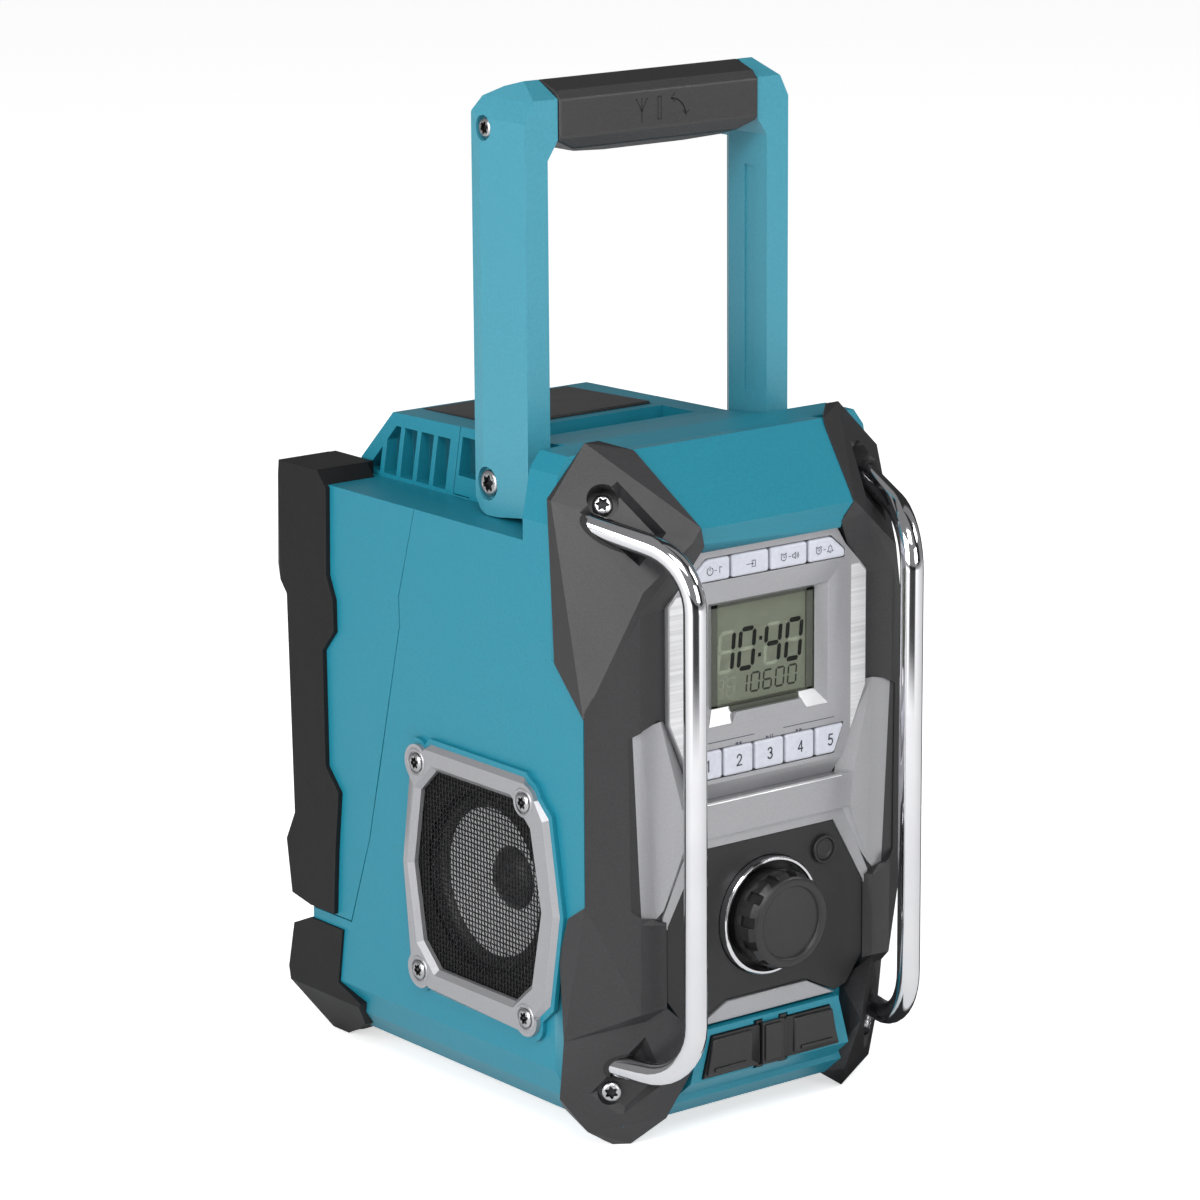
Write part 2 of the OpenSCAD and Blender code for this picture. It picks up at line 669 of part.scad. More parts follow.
module key(i, n, z, h) {
    w = (2 * row_half + key_gap) / n - key_gap;
    x = key_x(i, n);
    color(white) intersection() {
        box([x, console_y - key_proud, z], [x + w, console_y - key_proud + key_t, z + h]);
        fy(n == 4 ? both([[row_half, z], [row_half, z + 3.2], [row_half - 7, z + h]])
            : both([[row_half - 5, z], [row_half, z + h]]), console_y - 2, front_y);
    }
}

wing_out = half_w - 13.6;
module wing() {
    block([[wing_out, -102.2, 102.3], [62.5, -103.8, 98.2], [55.5, -105.6, 97.3], [52.5, -106.3, 100.1],
        [wing_out + 0.6, -103.3, 171.2], [62.5, -105, 174.2], [54, -106.6, 176.4], [51, -104.6, 175.6],
        [44, console_y - 0.4, band_z + band_h], [42, console_y - 0.4, band_z], [37.6, console_y + 3.6, 146],
        [50, console_y + 4, 174], [36, console_y + 3.4, band_z - 1],
        [wing_out, front_y + 1, 103], [wing_out, front_y + 1, 170], [50.5, front_y - e, 103],
        [50.5, front_y - e, 174], [42, front_y - e, 142], [42, front_y - e, 124]]);
}

module band() {
    fy(both([[47, band_z], [47, band_z + band_h]]), console_y - 0.4, front_y);
    // rim round the top of the knob panel
    fy(both([[38.4, band_z + 1], [52.6, 97], [52.6, 92]]), console_y + 1, front_y);
}

module front_yoke() {
    color(silver) difference() {
        union() {
            band();
            wing();
            mirror([1, 0, 0]) wing();
        }
        form();
        console_form();
        panel_form(console_y);
    }
}

module panel_form(y = console_y + 1.4) {
    fy(both([[34.3, band_z - 4.5], [50.3, 93], [50.3, 62], [42, 51], [36, 49.2], [20.6, 57]]), y, front_y);
}

module knob_panel() {
    color(black) difference() {
        panel_form();
        cy(console_y, console_y + 4.4, 0, knob_z, ring_d / 2 + 0.1);
        cy(console_y, front_y + 1, 0, knob_z, 9);
        cy(console_y, front_y + 1, 29.3, 109.8, button_d / 2 + key_fit);
    }
}

module knob_ring() {
    color(silver) translate([0, console_y + 4.4, knob_z]) rotate([90, 0, 0]) rotate_extrude()
        polygon([[ring_d / 2 - ring_w, 0], [ring_d / 2, 0], [ring_d / 2, 6.2], [ring_d / 2 - 0.5, 6.8],
            [ring_d / 2 - ring_w + 0.4, 6.8], [ring_d / 2 - ring_w, 6.2]]);
}

module encoder_body() {
    color("gray") difference() {
        union() {
            cy(console_y + 4.4, board_y - 1.6, 0, knob_z, 8.6);
            box([-8, front_y + wall + 0.4, knob_z - 8], [8, board_y - 1.6, knob_z + 8]);
        }
        cy(console_y, board_y - 4, 0, knob_z, shaft_d / 2 + run_fit);
    }
}

module encoder_shaft() {
    color("lightgray") cy(knob_front + 5, board_y - 4 - push - 0.3, 0, knob_z, shaft_d / 2);
}

module knob() {
    back = console_y + 4.4 - push - 0.8;
    color(rubber) difference() {
        translate([0, back, knob_z]) rotate([90, 0, 0]) rotate_extrude()
            polygon([[0, 0], [knob_d / 2 - 1.2, 0], [knob_d / 2 - 1.2, 3], [knob_d / 2, 5],
                [knob_d / 2, back - knob_front - 3], [knob_d / 2 - 2.6, back - knob_front],
                [knob_d / 2 - 4.2, back - knob_front], [knob_d / 2 - 5, back - knob_front - 0.8],
                [0, back - knob_front - 0.8]]);
        for (i = [0:notches - 1]) translate([0, 0, knob_z]) rotate([0, i * 360 / notches + 8, 0])
            box([-2.1, knob_front - 1, knob_d / 2 - notch_depth], [2.1, knob_front + 8, knob_d / 2 + 2]);
        cy(knob_front + 5 - run_fit, 0, 0, knob_z, shaft_d / 2 + run_fit);
    }
}

module round_button() {
    color(black) cy(console_y + 0.4, console_y + 5.4, 29.3, 109.8, button_d / 2);
}

module lower_trim() {
    color(silver) fy(both([[20.6, 56.6], [35.6, port_z + port_h + 4]]), console_y + 0.6, front_y);
}

module lcd_module() {
    color("#2f3a2f") box([-lcd_half - 6.6, console_y + 3.7 + lens_t, lcd_z - 5.2],
        [lcd_half + 6.6, board_y, lcd_z + lcd_h + 4.2]);
}

module display_window() {
    color("#8b937c") box([-lcd_half - 3, console_y + 3.7, lcd_z - 3],
        [lcd_half + 3, console_y + 3.7 + lens_t, lcd_z + lcd_h + 3]);
}

// ---------- ports ----------
cover_y = chin_y - 1.1;
cover_x = strap_half + 1.6;
knuckle_y = cover_y + 1.2;
knuckle_r = 1.2;
cover_pin = 0.5;
module port_cover(s) {
    color(rubber) side(s) difference() {
        union() {
            fy([[cover_x, port_z], [port_reach, port_z], [port_reach - 4.6, port_z + port_h],
                [cover_x, port_z + port_h]], cover_y, cover_y + cover_t);
            translate([cover_x, knuckle_y, port_z + 0.5]) cylinder(h = port_h - 1, r = knuckle_r);
        }
        translate([cover_x, knuckle_y, port_z - 1]) cylinder(h = port_h + 2, r = cover_pin + run_fit);
    }
}

module port_strap() {
    color(rubber) {
        box([-strap_half, cover_y - 0.6, port_z - 0.4], [strap_half, chin_y, port_z + port_h + 0.4]);
        for (s = [-1, 1]) side(s) {
            translate([cover_x, knuckle_y, port_z - 1]) cylinder(h = port_h + 2, r = cover_pin);
            for (z = [port_z - 1.4, port_z + port_h + 0.4]) box([strap_half - 1, knuckle_y - 0.5, z],
                [cover_x + 0.5, knuckle_y + 0.5, z + 1]);
            for (z = [port_z - 1.4, port_z + port_h - 1]) box([strap_half - 1, knuckle_y - 0.5, z],
                [strap_half, knuckle_y + 0.5, z + 2.4]);
        }
    }
}

module usb_socket() {
    color("silver") difference() {
        box([-26, chin_y + 2.2, port_z + 5], [-12, board_y, port_z + 12]);
        box([-25.3, chin_y + 1, port_z + 5.8], [-12.7, board_y - 5, port_z + 11.2]);
    }
}

module aux_socket() {
    color("#222224") difference() {
        union() {
            cy(chin_y + 2, front_y + wall + 1, 19.5, port_z + 8.3, 4);
            box([14.5, front_y + wall + 0.4, port_z + 4], [24.5, board_y, port_z + 12.6]);
        }
        cy(chin_y, board_y - 1, 19.5, port_z + 8.3, aux_bore / 2);
    }
}

// ---------- inner pieces ----------
module main_board() {
    color("darkgreen") difference() {
        box([-42, board_y, 24], [42, board_y + 1.6, 225]);
        cy(board_y - 1, board_y + 3, 0, knob_z, 4);
    }
    color("darkgreen") for (x = [-38, 38], z = [60, 215]) cy(front_y + wall, board_y + 0.5, x, z, 3);
}

module ferrite_aerial() {
    color("#4a4038") {
        cx(-30, 30, board_y + 8, 232, 5);
        for (x = [-26, 22]) box([x, board_y + 1.6, 218], [x + 4, board_y + 9, 233]);
    }
}

// ---------- rear feet ----------
foot_screw = [59.5, 89.5, 6];
module rear_foot(s) {
    color(rubber) side(s) difference() {
        intersection() {
            sx([[69.5, 55], [92.8, 55], [105.2, 49.7], [109.8, 29.6], [104, 0], [93, 0], [80, 6], [66, 13],
                [57.6, 25.8], [73.2, 31.4]], 44, half_w + rear_side - 1);
            fy(both([[half_w + rear_side - 1, 56], [half_w + rear_side - 1, 24], [64, 0], [54, 0],
                [44, floor_z], [44, 56]]),
                50, 115);
        }
        form();
        translate(foot_screw) cylinder(h = 40, r = screw_d / 2 + 0.05);
        translate(foot_screw - [0, 0, 9]) cylinder(h = 9, r = screw_head / 2 + 0.5);
    }
}

module foot_screws() {
    color(chrome) for (s = [-1, 1]) side(s) translate(foot_screw) {
        translate([0, 0, -1]) cylinder(h = floor_z - foot_screw.z + wall + 2, r = screw_d / 2);
        translate([0, 0, -2.4]) cylinder(h = 2.4, r = screw_head / 2);
    }
}

// ---------- rear door ----------
module rear_cover() {
    color(teal) difference() {
        union() {
            intersection() {
                form();
                behind_seam(seam_gap, seam_gap);
            }
            for (s = [-1, 1]) side(s) {
                cx(32.4, 43.6, hinge_y, hinge_z, 4);
                box([32.4, back_y - 1, hinge_z + 3.4], [43.6, hinge_y + 4, hinge_z + 12]);
                box([32.4, hinge_y - 0.5, hinge_z], [43.6, hinge_y + 4, hinge_z + 4]);
            }
        }
        difference() {
            hollow();
            box([-half_w, 0, 0], [half_w, back_y + 1, door_z + seam_gap + wall]);
        }
        box([-panel_half, 14, deck_z - 1.1 - panel_t], [panel_half, 14 + panel_len + 0.2, deck_z + 9]);
        for (s = [-1, 1]) side(s) {
            for (i = [0:4]) intersection() {
                box([hump_half - 7, 31.4 + i * 11.3, shelf_z + 1.5],
                    [hump_half + 1, 40 + i * 11.3, deck_z]);
                sx([[26, shelf_z + 1.4], [hump_end + 13.5, shelf_z + 1.4], [hump_end - 3.4, deck_z - 7.5],
                    [26, deck_z - 7]], 40, 60);
            }
            cx(32, 44, hinge_y, hinge_z, hinge_d / 2 + run_fit);
        }
        // seat of the latch
        box([-24.3, back_y - 1.4, 205], [24.3, back_y + 1, 229.3]);
    }
}

module top_panel() {
    color(black) sx([[12.9, deck_z - 0.8 - panel_t], [12.9, deck_z + 0.3], [12.9 + panel_len, deck_z - 1.9],
        [12.9 + panel_len, deck_z - 1 - panel_t]], -panel_half + 0.2, panel_half - 0.2);
}

module rear_bumper(s) {
    o = half_w + rear_side;
    color(rubber) side(s) difference() {
        union() {
            intersection() {
                sx([[107.4, rest_z], [rear_reach, 203.5], [103.7, 192.6], [102.5, 138.5],
                    [101.4, 98.9], [107.9, 86.3],
                    [104.6, 63.4], [91.2, 61], [74, 61], [72, 89], [69, 114.2], [78, 123.8], [78.4, 173.1],
                    [70.2, 182.3], [70.4, 195.7], [74.7, 205.4], [73.8, shelf_z - 1], [80, rest_z]], 50, o);
                pz([[58, 60], [o, 60], [o, 108], [o - 3, 114], [58, 114]], 50, 260);
            }
            box([54.8, 80, shelf_z], [60, 107, rest_z]);
        }
        form();
    }
}

module door_latch() {
    color(rubber) {
        box([-24, back_y - 1.2, 211.5], [24, back_y - 1.2 + latch_t - 2, 229]);
        sx([[back_y + latch_t - 3.2 - e, 226], [back_y + latch_t, 223.5], [back_y + latch_t, 219.5],
            [back_y + latch_t - 3.2 - e, 214]], -18, 18);
    }
}

module door_pins() {
    color(chrome) for (s = [-1, 1]) side(s) cx(26, 50, hinge_y, hinge_z, hinge_d / 2);
}

// ---------- handle ----------
arm_pts = [[arm_in, pivot_y - 27], [arm_out, pivot_y - 27], [arm_out, pivot_y + 2],
    [arm_out - 1.2, pivot_y + 9],
    [arm_out - 2, pivot_y + 9], [arm_in, pivot_y - 3]];
module arm_limits() {
    // side outline of an arm: round foot, straight shaft, rounded top corner
    t = arm_top - pivot_z;
    translate([0, pivot_y, pivot_z]) rotate([90, 0, 90]) linear_extrude(arm_out + 5) {
        polygon([[-28, t + 1.2], [-28, -9.5], [-7, -12.4], [0, -12.7], [5, -11], [9.2, -6.5],
            [9.2, t - 6], [5, t + 1],
            [-5, t + 5.4], [-14.9, t + 8]]);
    }
}

module handle_arm(s) {
    h = arm_top + 1.2;
    color(teal) side(s) difference() {
        intersection() {
            union() {
                pz(arm_pts, pivot_z - 13, h + 10);
                // elbow toward the grip
                fy([[grip_half, h - 15.5], [arm_in + 2, h - 26], [arm_out - 2, h - 26],
                    [arm_out - 2, h + 10], [grip_half, h + 10]], pivot_y - 27, pivot_y + 9);
                cx(arm_in, arm_out - 1.4, pivot_y, pivot_z, 9);
            }
            arm_limits();
            fy([[0, 200], [arm_out, 200], [arm_out, h - 8], [arm_out - 4, h], [arm_out - 10, h + 8.2],
                [0, h + 8.2]],
                pivot_y - 40, pivot_y + 40);
        }
        cx(arm_in - 1, arm_out + 1, pivot_y, pivot_z, pin_d / 2 + run_fit);
        cx(arm_out - 3, arm_out + 1, pivot_y, pivot_z, 6.75);
        cx(grip_half - 1, arm_out + 1, pivot_y, h - 12, screw_d / 2 + 0.05);
        cx(arm_out - 3, arm_out + 1, pivot_y, h - 12, 5);
        // shallow slot down the inner face
        box([arm_in - 1, pivot_y - 19, pivot_z + 24], [arm_in + 0.8, pivot_y - 13, h - 36]);
    }
}

module handle_pivots() {
    color(chrome) for (s = [-1, 1]) side(s) {
        cx(hump_half - 12, arm_out - 2.8, pivot_y, pivot_z, pin_d / 2);
        cx(arm_out - 2.8, arm_out - 0.4, pivot_y, pivot_z, 5.4);
    }
}

g0 = arm_top - 400;
// Outline of the grip's core in Y and Z, o larger all round
function core_pts(o) = [[-36 - o, 388 + g0], [-36 - o, 399.6 + g0 + o], [-27, 403.4 + g0 + o],
    [-18, 401.6 + g0 + o],
    [-8 + o, 396 + g0 + o], [-8 + o, 388 + g0], [-13, 383.4 + g0 - o], [-30, 383.4 + g0 - o]];
module grip_core() {
    color("#3a3a3c") difference() {
        sx(core_pts(0), -grip_half, grip_half);
        for (s = [-1, 1]) side(s) cx(grip_half - 14, grip_half + 1, pivot_y, arm_top - 10.8, screw_d / 2);
    }
}

module grip_cover() {
    w = grip_half - 0.4;
    color(rubber) difference() {
        intersection() {
            sx([[-41, 386.6 + g0], [-41, 401.2 + g0], [-38, 404.6 + g0], [-27.9, 408.1 + g0],
                [-18, 405.6 + g0], [-7, 400.6 + g0],
                [-4, 396 + g0], [-4, 386 + g0], [-8, 381 + g0], [-16, 378.6 + g0], [-30, 378.4 + g0],
                [-38, 381.5 + g0]], -w, w);
            fy(both([[20, 378.4 + g0], [w - 12, 379.8 + g0], [w, 385 + g0], [w, 420 + g0]]), -60, 10);
        }
        sx(core_pts(0.2), -60, 60);
    }
}

module grip_screws() {
    color(chrome) for (s = [-1, 1]) side(s) {
        cx(grip_half - 12, arm_out - 3, pivot_y, arm_top - 10.8, screw_d / 2);
        cx(arm_out - 3, arm_out - 0.6, pivot_y, arm_top - 10.8, screw_head / 2);
    }
}

place() main_casing();
place() front_casing();
place() battery_bay();
place() terminal_block();
place() front_bumper(-1);  // front_bumper_left
place() front_bumper(1);  // front_bumper_right
place() guard_bar(-1);  // guard_bar_left
place() guard_bar(1);  // guard_bar_right
place() bumper_screws();
place() speaker_frame(-1);  // speaker_frame_left
place() speaker_frame(1);  // speaker_frame_right
place() speaker_grille(-1);  // speaker_grille_left
place() speaker_grille(1);  // speaker_grille_right
place() speaker_driver(-1);  // speaker_driver_left
place() speaker_driver(1);  // speaker_driver_right
place() speaker_cone(-1);  // speaker_cone_left
place() speaker_cone(1);  // speaker_cone_right
place() speaker_screws();
place() console();
place() front_yoke();
place() lcd_module();
place() display_window();
place() knob_panel();
place() knob_ring();
place() encoder_body();
place() lower_trim();
place() port_strap();
place() usb_socket();
place() aux_socket();
place() main_board();
place() ferrite_aerial();
place() rear_foot(-1);  // rear_foot_left
place() rear_foot(1);  // rear_foot_right
place() foot_screws();
place() door_pins();
place() handle_pivots();
place() rear_cover();
place() top_panel();
place() rear_bumper(-1);  // rear_bumper_left
place() rear_bumper(1);  // rear_bumper_right
place() door_latch();
place() handle_arm(-1);  // handle_arm_left
place() handle_arm(1);  // handle_arm_right
place() grip_core();
place() grip_cover();
place() grip_screws();
place() key(0, 4, fkey_z, fkey_h);  // function_key_1
place() key(1, 4, fkey_z, fkey_h);  // function_key_2
place() key(2, 4, fkey_z, fkey_h);  // function_key_3
place() key(3, 4, fkey_z, fkey_h);  // function_key_4
place() key(0, 5, pkey_z, pkey_h);  // preset_key_1
place() key(1, 5, pkey_z, pkey_h);  // preset_key_2
place() key(2, 5, pkey_z, pkey_h);  // preset_key_3
place() key(3, 5, pkey_z, pkey_h);  // preset_key_4
place() key(4, 5, pkey_z, pkey_h);  // preset_key_5
place() round_button();
place() encoder_shaft();
place() knob();
place() port_cover(-1);  // usb_cover
place() port_cover(1);  // aux_cover
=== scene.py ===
# %% [markdown]
# # A jobsite radio, dressed piece by piece
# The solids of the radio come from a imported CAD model. They fix every size, and this lesson
# only gives them their looks: softened moulding edges, a woven speaker mesh, a display with
# its figures, keys with their marks, screws with sockets, and a node material for each
# plastic, rubber and metal. Everything is in metres, in the frame of the CAD model.

# %% Load the solids
import json
import math
import bmesh
import bpy
from mathutils import Matrix, Vector
from mathutils.bvhtree import BVHTree


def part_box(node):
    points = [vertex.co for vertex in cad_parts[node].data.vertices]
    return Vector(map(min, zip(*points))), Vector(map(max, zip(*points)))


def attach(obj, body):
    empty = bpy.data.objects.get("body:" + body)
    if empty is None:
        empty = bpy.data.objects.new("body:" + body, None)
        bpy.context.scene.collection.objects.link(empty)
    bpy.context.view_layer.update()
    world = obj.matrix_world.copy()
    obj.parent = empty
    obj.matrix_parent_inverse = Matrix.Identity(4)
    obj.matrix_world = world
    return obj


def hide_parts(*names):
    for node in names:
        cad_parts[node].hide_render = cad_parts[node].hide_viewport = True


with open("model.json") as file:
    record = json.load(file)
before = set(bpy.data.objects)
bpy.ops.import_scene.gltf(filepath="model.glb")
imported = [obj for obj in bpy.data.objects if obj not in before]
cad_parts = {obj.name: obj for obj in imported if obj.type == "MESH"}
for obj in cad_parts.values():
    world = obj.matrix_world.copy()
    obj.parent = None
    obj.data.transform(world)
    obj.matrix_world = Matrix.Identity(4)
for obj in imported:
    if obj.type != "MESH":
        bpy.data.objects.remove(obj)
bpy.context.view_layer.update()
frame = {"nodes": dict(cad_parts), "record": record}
scene = bpy.context.scene
SIDES = (("left", -1), ("right", 1))

# %% [markdown]
# ## Camera
# A long lens far away keeps upright edges almost parallel. The camera looks down a little,
# from the radio's left front.

# %% Place the camera
AZIMUTH, ELEVATION, ROLL = math.radians(-37.997), math.radians(13.634), math.radians(-0.39)
back = Vector((math.sin(AZIMUTH) * math.cos(ELEVATION), -math.cos(AZIMUTH) * math.cos(ELEVATION),
               math.sin(ELEVATION)))
right = Vector((math.cos(AZIMUTH), math.sin(AZIMUTH), 0))
up = back.cross(right)
turned_right = math.cos(ROLL) * right + math.sin(ROLL) * up
turned_up = -math.sin(ROLL) * right + math.cos(ROLL) * up
lens = bpy.data.cameras.new("camera")
lens.lens, lens.sensor_width = 140.99, 36
lens.clip_start, lens.clip_end = 0.05, 30
camera = bpy.data.objects.new("camera", lens)
place = Matrix((turned_right, turned_up, back)).transposed().to_4x4()
place.translation = Vector((-1.1442, -1.4548, 0.6471))
camera.matrix_world = place
scene.collection.objects.link(camera)
scene.camera = camera
print("camera at", [round(v, 3) for v in camera.location])

# %% [markdown]
# ## Helpers
# Two helpers start a material and build an object from points and faces. The others work in
# any node tree: they add a node, feed its sockets with links or constants, combine values or
# vectors, stretch a value to a useful range, and blend two colours.

# %% Start, build, add, feed, combine, stretch and blend


def start(name):
    """A new finish, its node tree and its Principled node."""
    finish = bpy.data.materials.new(name)
    finish.use_nodes = True
    return finish, finish.node_tree, finish.node_tree.nodes["Principled BSDF"]


def build(name, points, faces, finish, smooth=False):
    """An object made of points and faces, in one finish."""
    mesh = bpy.data.meshes.new(name)
    mesh.from_pydata(points, [], faces)
    mesh.materials.append(finish)
    mesh.polygons.foreach_set("use_smooth", [smooth] * len(faces))
    return bpy.data.objects.new(name, mesh)


def add(tree, kind, **values):
    """A node of the given kind, with values for its sockets or settings by name."""
    node = tree.nodes.new(kind)
    for key, value in values.items():
        if key in node.inputs:
            node.inputs[key].default_value = value
        else:
            setattr(node, key, value)
    return node


def feed(tree, node, values):
    """Give a node's sockets, by name or number, a link or a constant each."""
    for key, value in values.items():
        if isinstance(value, bpy.types.NodeSocket):
            tree.links.new(value, node.inputs[key])
        else:
            node.inputs[key].default_value = value


def combine(tree, how, *values):
    """Values through one Math node, such as MAXIMUM or MULTIPLY."""
    node = add(tree, "ShaderNodeMath", operation=how)
    feed(tree, node, dict(enumerate(values)))
    return node.outputs[0]


def vector(tree, how, *values):
    """Vectors through one Vector Math node; a length or dot product comes out as a value."""
    node = add(tree, "ShaderNodeVectorMath", operation=how)
    feed(tree, node, dict(enumerate(values)))
    return node.outputs["Value" if how in ("LENGTH", "DOT_PRODUCT") else "Vector"]


def ramp(tree, factor, low, high, dark=0.0, bright=1.0, kind="LINEAR"):
    """Stretches a factor so that low..high becomes dark..bright."""
    node = add(tree, "ShaderNodeMapRange", interpolation_type=kind)
    feed(tree, node, {"Value": factor, "From Min": low, "From Max": high, "To Min": dark, "To Max": bright})
    return node.outputs["Result"]


def mix(tree, factor, first, second, **settings):
    """A blend of two colours, given as (r, g, b) or as links."""
    node = add(tree, "ShaderNodeMix", data_type="RGBA", **settings)
    first, second = ((*c, 1) if isinstance(c, tuple) else c for c in (first, second))
    feed(tree, node, {0: factor, 6: first, 7: second})
    return node.outputs[2]


print("helpers ready")

# %% [markdown]
# ## Floor and light
# The camera sees a plain white world and floor. Light Path gives the radio a dimmer world
# than that, so that soft boxes do most of the lighting and each facet gets its own tone, and
# gives gloss a dimmer one still, so that black rubber stays black. A photographer stands
# black flags beside polished metal, because it looks like paper where all round it is white.
# Here only mirrors see such flags: at two bearings in the world, and on the floor far out
# towards the lens and along one bearing.

# %% Light the world
scene.view_settings.view_transform = "Standard"
WHITE = (1, 1, 1, 1)
SEEN_WORLD, LIT_WORLD, MIRRORED_WORLD, FLAG_WORLD = 1.0, 0.36, 0.30, 0.04

# Degrees: bearing from the front towards +X, half the dark core, half of core and soft edge.
RIGHT_FLAG = (30, 16, 22)
EDGE_FLAG = (118, 16, 26)
LENS_FLAG = (-34, 22, 38)


def flag_mask(tree, direction, bearing, core, whole):
    """1 in the directions of a dark flag's core, falling to 0 at its soft edge."""
    angle = math.radians(bearing)
    level = vector(tree, "NORMALIZE", vector(tree, "MULTIPLY", direction, (1, 1, 0)))
    toward = vector(tree, "DOT_PRODUCT", level, (math.sin(angle), -math.cos(angle), 0))
    edges = math.cos(math.radians(whole)), math.cos(math.radians(core))
    return ramp(tree, toward, *edges, kind="SMOOTHSTEP")


world = bpy.data.worlds.new("studio")
world.use_nodes = True
scene.world = world
tree = world.node_tree
path = add(tree, "ShaderNodeLightPath")
aim = add(tree, "ShaderNodeTexCoord").outputs["Generated"]
flags = [flag_mask(tree, aim, *flag) for flag in (RIGHT_FLAG, EDGE_FLAG)]
mirrored = ramp(tree, combine(tree, "MAXIMUM", *flags), 0, 1, MIRRORED_WORLD, FLAG_WORLD)
lighting = ramp(tree, path.outputs["Is Glossy Ray"], 0, 1, LIT_WORLD, mirrored)
seen = ramp(tree, path.outputs["Is Camera Ray"], 0, 1, lighting, SEEN_WORLD)
feed(tree, tree.nodes["Background"], {"Color": WHITE, "Strength": seen})
print("world lit, with", len(flags), "flags")

# %% [markdown]
# The floor is pale, and it glows a little for the camera alone, so that it looks as white as
# the world behind it.

# %% Lay the floor
FLOOR_HALF = 6
FLOOR_PALE, FLOOR_DARK, FLOOR_GLOW = (0.93, 0.93, 0.93), (0.03, 0.03, 0.03), 0.60
FLAG_STARTS, FLAG_FULL = 0.60, 0.90

floor_paint, tree, shade = start("floor paint")
corners = [(x * FLOOR_HALF, y * FLOOR_HALF, 0) for x, y in ((-1, -1), (1, -1), (1, 1), (-1, 1))]
floor = build("floor", corners, [(0, 1, 2, 3)], floor_paint)
floor.location.z = -0.0004
scene.collection.objects.link(floor)
path = add(tree, "ShaderNodeLightPath")
glow = ramp(tree, path.outputs["Is Camera Ray"], 0, 1, 0.0, FLOOR_GLOW)
spot = add(tree, "ShaderNodeTexCoord").outputs["Object"]
from_bars = vector(tree, "ADD", spot, (0, 0.13, 0))
far = ramp(tree, vector(tree, "LENGTH", from_bars), FLAG_STARTS, FLAG_FULL, kind="SMOOTHSTEP")
behind_lens = combine(tree, "MULTIPLY", far, flag_mask(tree, from_bars, *LENS_FLAG))
dark = combine(tree, "MAXIMUM", behind_lens, flag_mask(tree, from_bars, *EDGE_FLAG))
seen_dark = combine(tree, "MULTIPLY", path.outputs["Is Glossy Ray"], dark)
feed(tree, shade, {"Roughness": 0.85, "Specular IOR Level": 0.1, "Emission Color": WHITE,
                   "Emission Strength": glow, "Base Color": mix(tree, seen_dark, FLOOR_PALE, FLOOR_DARK)})
print("floor", floor.dimensions.x, "m wide")

# %% [markdown]
# Four soft boxes stand round the radio: the strongest at its left, the others for the front,
# the top and the far side.

# %% Hang the lamps
LAMP_AIM = Vector((0, 0, 0.2))


def soft_lamp(name, place, width, height, power):
    """A rectangular soft box that faces the middle of the radio."""
    lamp = bpy.data.lights.new(name, "AREA")
    lamp.shape, lamp.size, lamp.size_y, lamp.energy = "RECTANGLE", width, height, power
    holder = bpy.data.objects.new(name, lamp)
    holder.location = place
    holder.rotation_euler = (LAMP_AIM - Vector(place)).to_track_quat("-Z", "Y").to_euler()
    scene.collection.objects.link(holder)


soft_lamp("left box", (-2.0, -0.4, 0.75), 1.4, 1.2, 36)
soft_lamp("high box", (-0.95, -1.35, 1.7), 1.1, 0.8, 22)
soft_lamp("front box", (0.2, -2.2, 0.7), 1.0, 0.8, 15)
soft_lamp("right box", (1.35, -1.25, 1.35), 0.8, 0.7, 9)

# %% [markdown]
# ## Building blocks for materials
# The finishes share a few effects: the fine texture that a mould leaves, uneven handling
# marks, and the lines of a brushed sheet. Each is a node group with named sockets, made once
# and then placed in each material with its own values.

# %% Mould grain, handling marks and brushed lines


def make_group(name, output, **inputs):
    """An empty shader node group: its tree, inputs, output and the place of its texture."""
    tree = bpy.data.node_groups.new(name, "ShaderNodeTree")
    for label, value in inputs.items():
        socket = tree.interface.new_socket(name=label, in_out="INPUT", socket_type="NodeSocketFloat")
        socket.default_value = value
    tree.interface.new_socket(name=output, in_out="OUTPUT", socket_type="NodeSocketFloat")
    ends_in, ends_out = add(tree, "NodeGroupInput"), add(tree, "NodeGroupOutput")
    where = add(tree, "ShaderNodeTexCoord").outputs["Object"]
    return tree, ends_in.outputs, ends_out.inputs[output], where


grain, given, result, where = make_group("mould grain", "Height", Size=900.0)
cells = add(grain, "ShaderNodeTexVoronoi", feature="SMOOTH_F1", Smoothness=0.6)
fine = add(grain, "ShaderNodeTexNoise", Detail=2.0)
for texture in (cells, fine):
    feed(grain, texture, {"Vector": where, "Scale": given["Size"]})
grain.links.new(combine(grain, "ADD", cells.outputs["Distance"], fine.outputs["Fac"]), result)

marks, given, result, where = make_group("handling marks", "Mask", Size=14.0)
wide = add(marks, "ShaderNodeTexNoise", Detail=4.0, Roughness=0.62, Distortion=0.4)
feed(marks, wide, {"Vector": where, "Scale": given["Size"]})
marks.links.new(ramp(marks, wide.outputs["Fac"], 0.36, 0.66), result)

brush, given, result, where = make_group("brushed lines", "Height", Across=900.0, Along=12.0)
stretch = add(brush, "ShaderNodeCombineXYZ")
feed(brush, stretch, {"X": given["Along"], "Y": given["Along"], "Z": given["Across"]})
lines = add(brush, "ShaderNodeTexNoise", Scale=1.0, Detail=3.0)
feed(brush, lines, {"Vector": vector(brush, "MULTIPLY", where, stretch.outputs["Vector"])})
brush.links.new(lines.outputs["Fac"], result)
print("groups:", [g.name for g in bpy.data.node_groups])

# %% [markdown]
# ## Moulded finishes
# A moulded plastic is one colour, a little darker and glossier where it is handled, with fine
# specks and a fine bump from the mould. The same recipe serves the teal shell, the rubbers,
# the silver paint, the white keys and the small black parts.

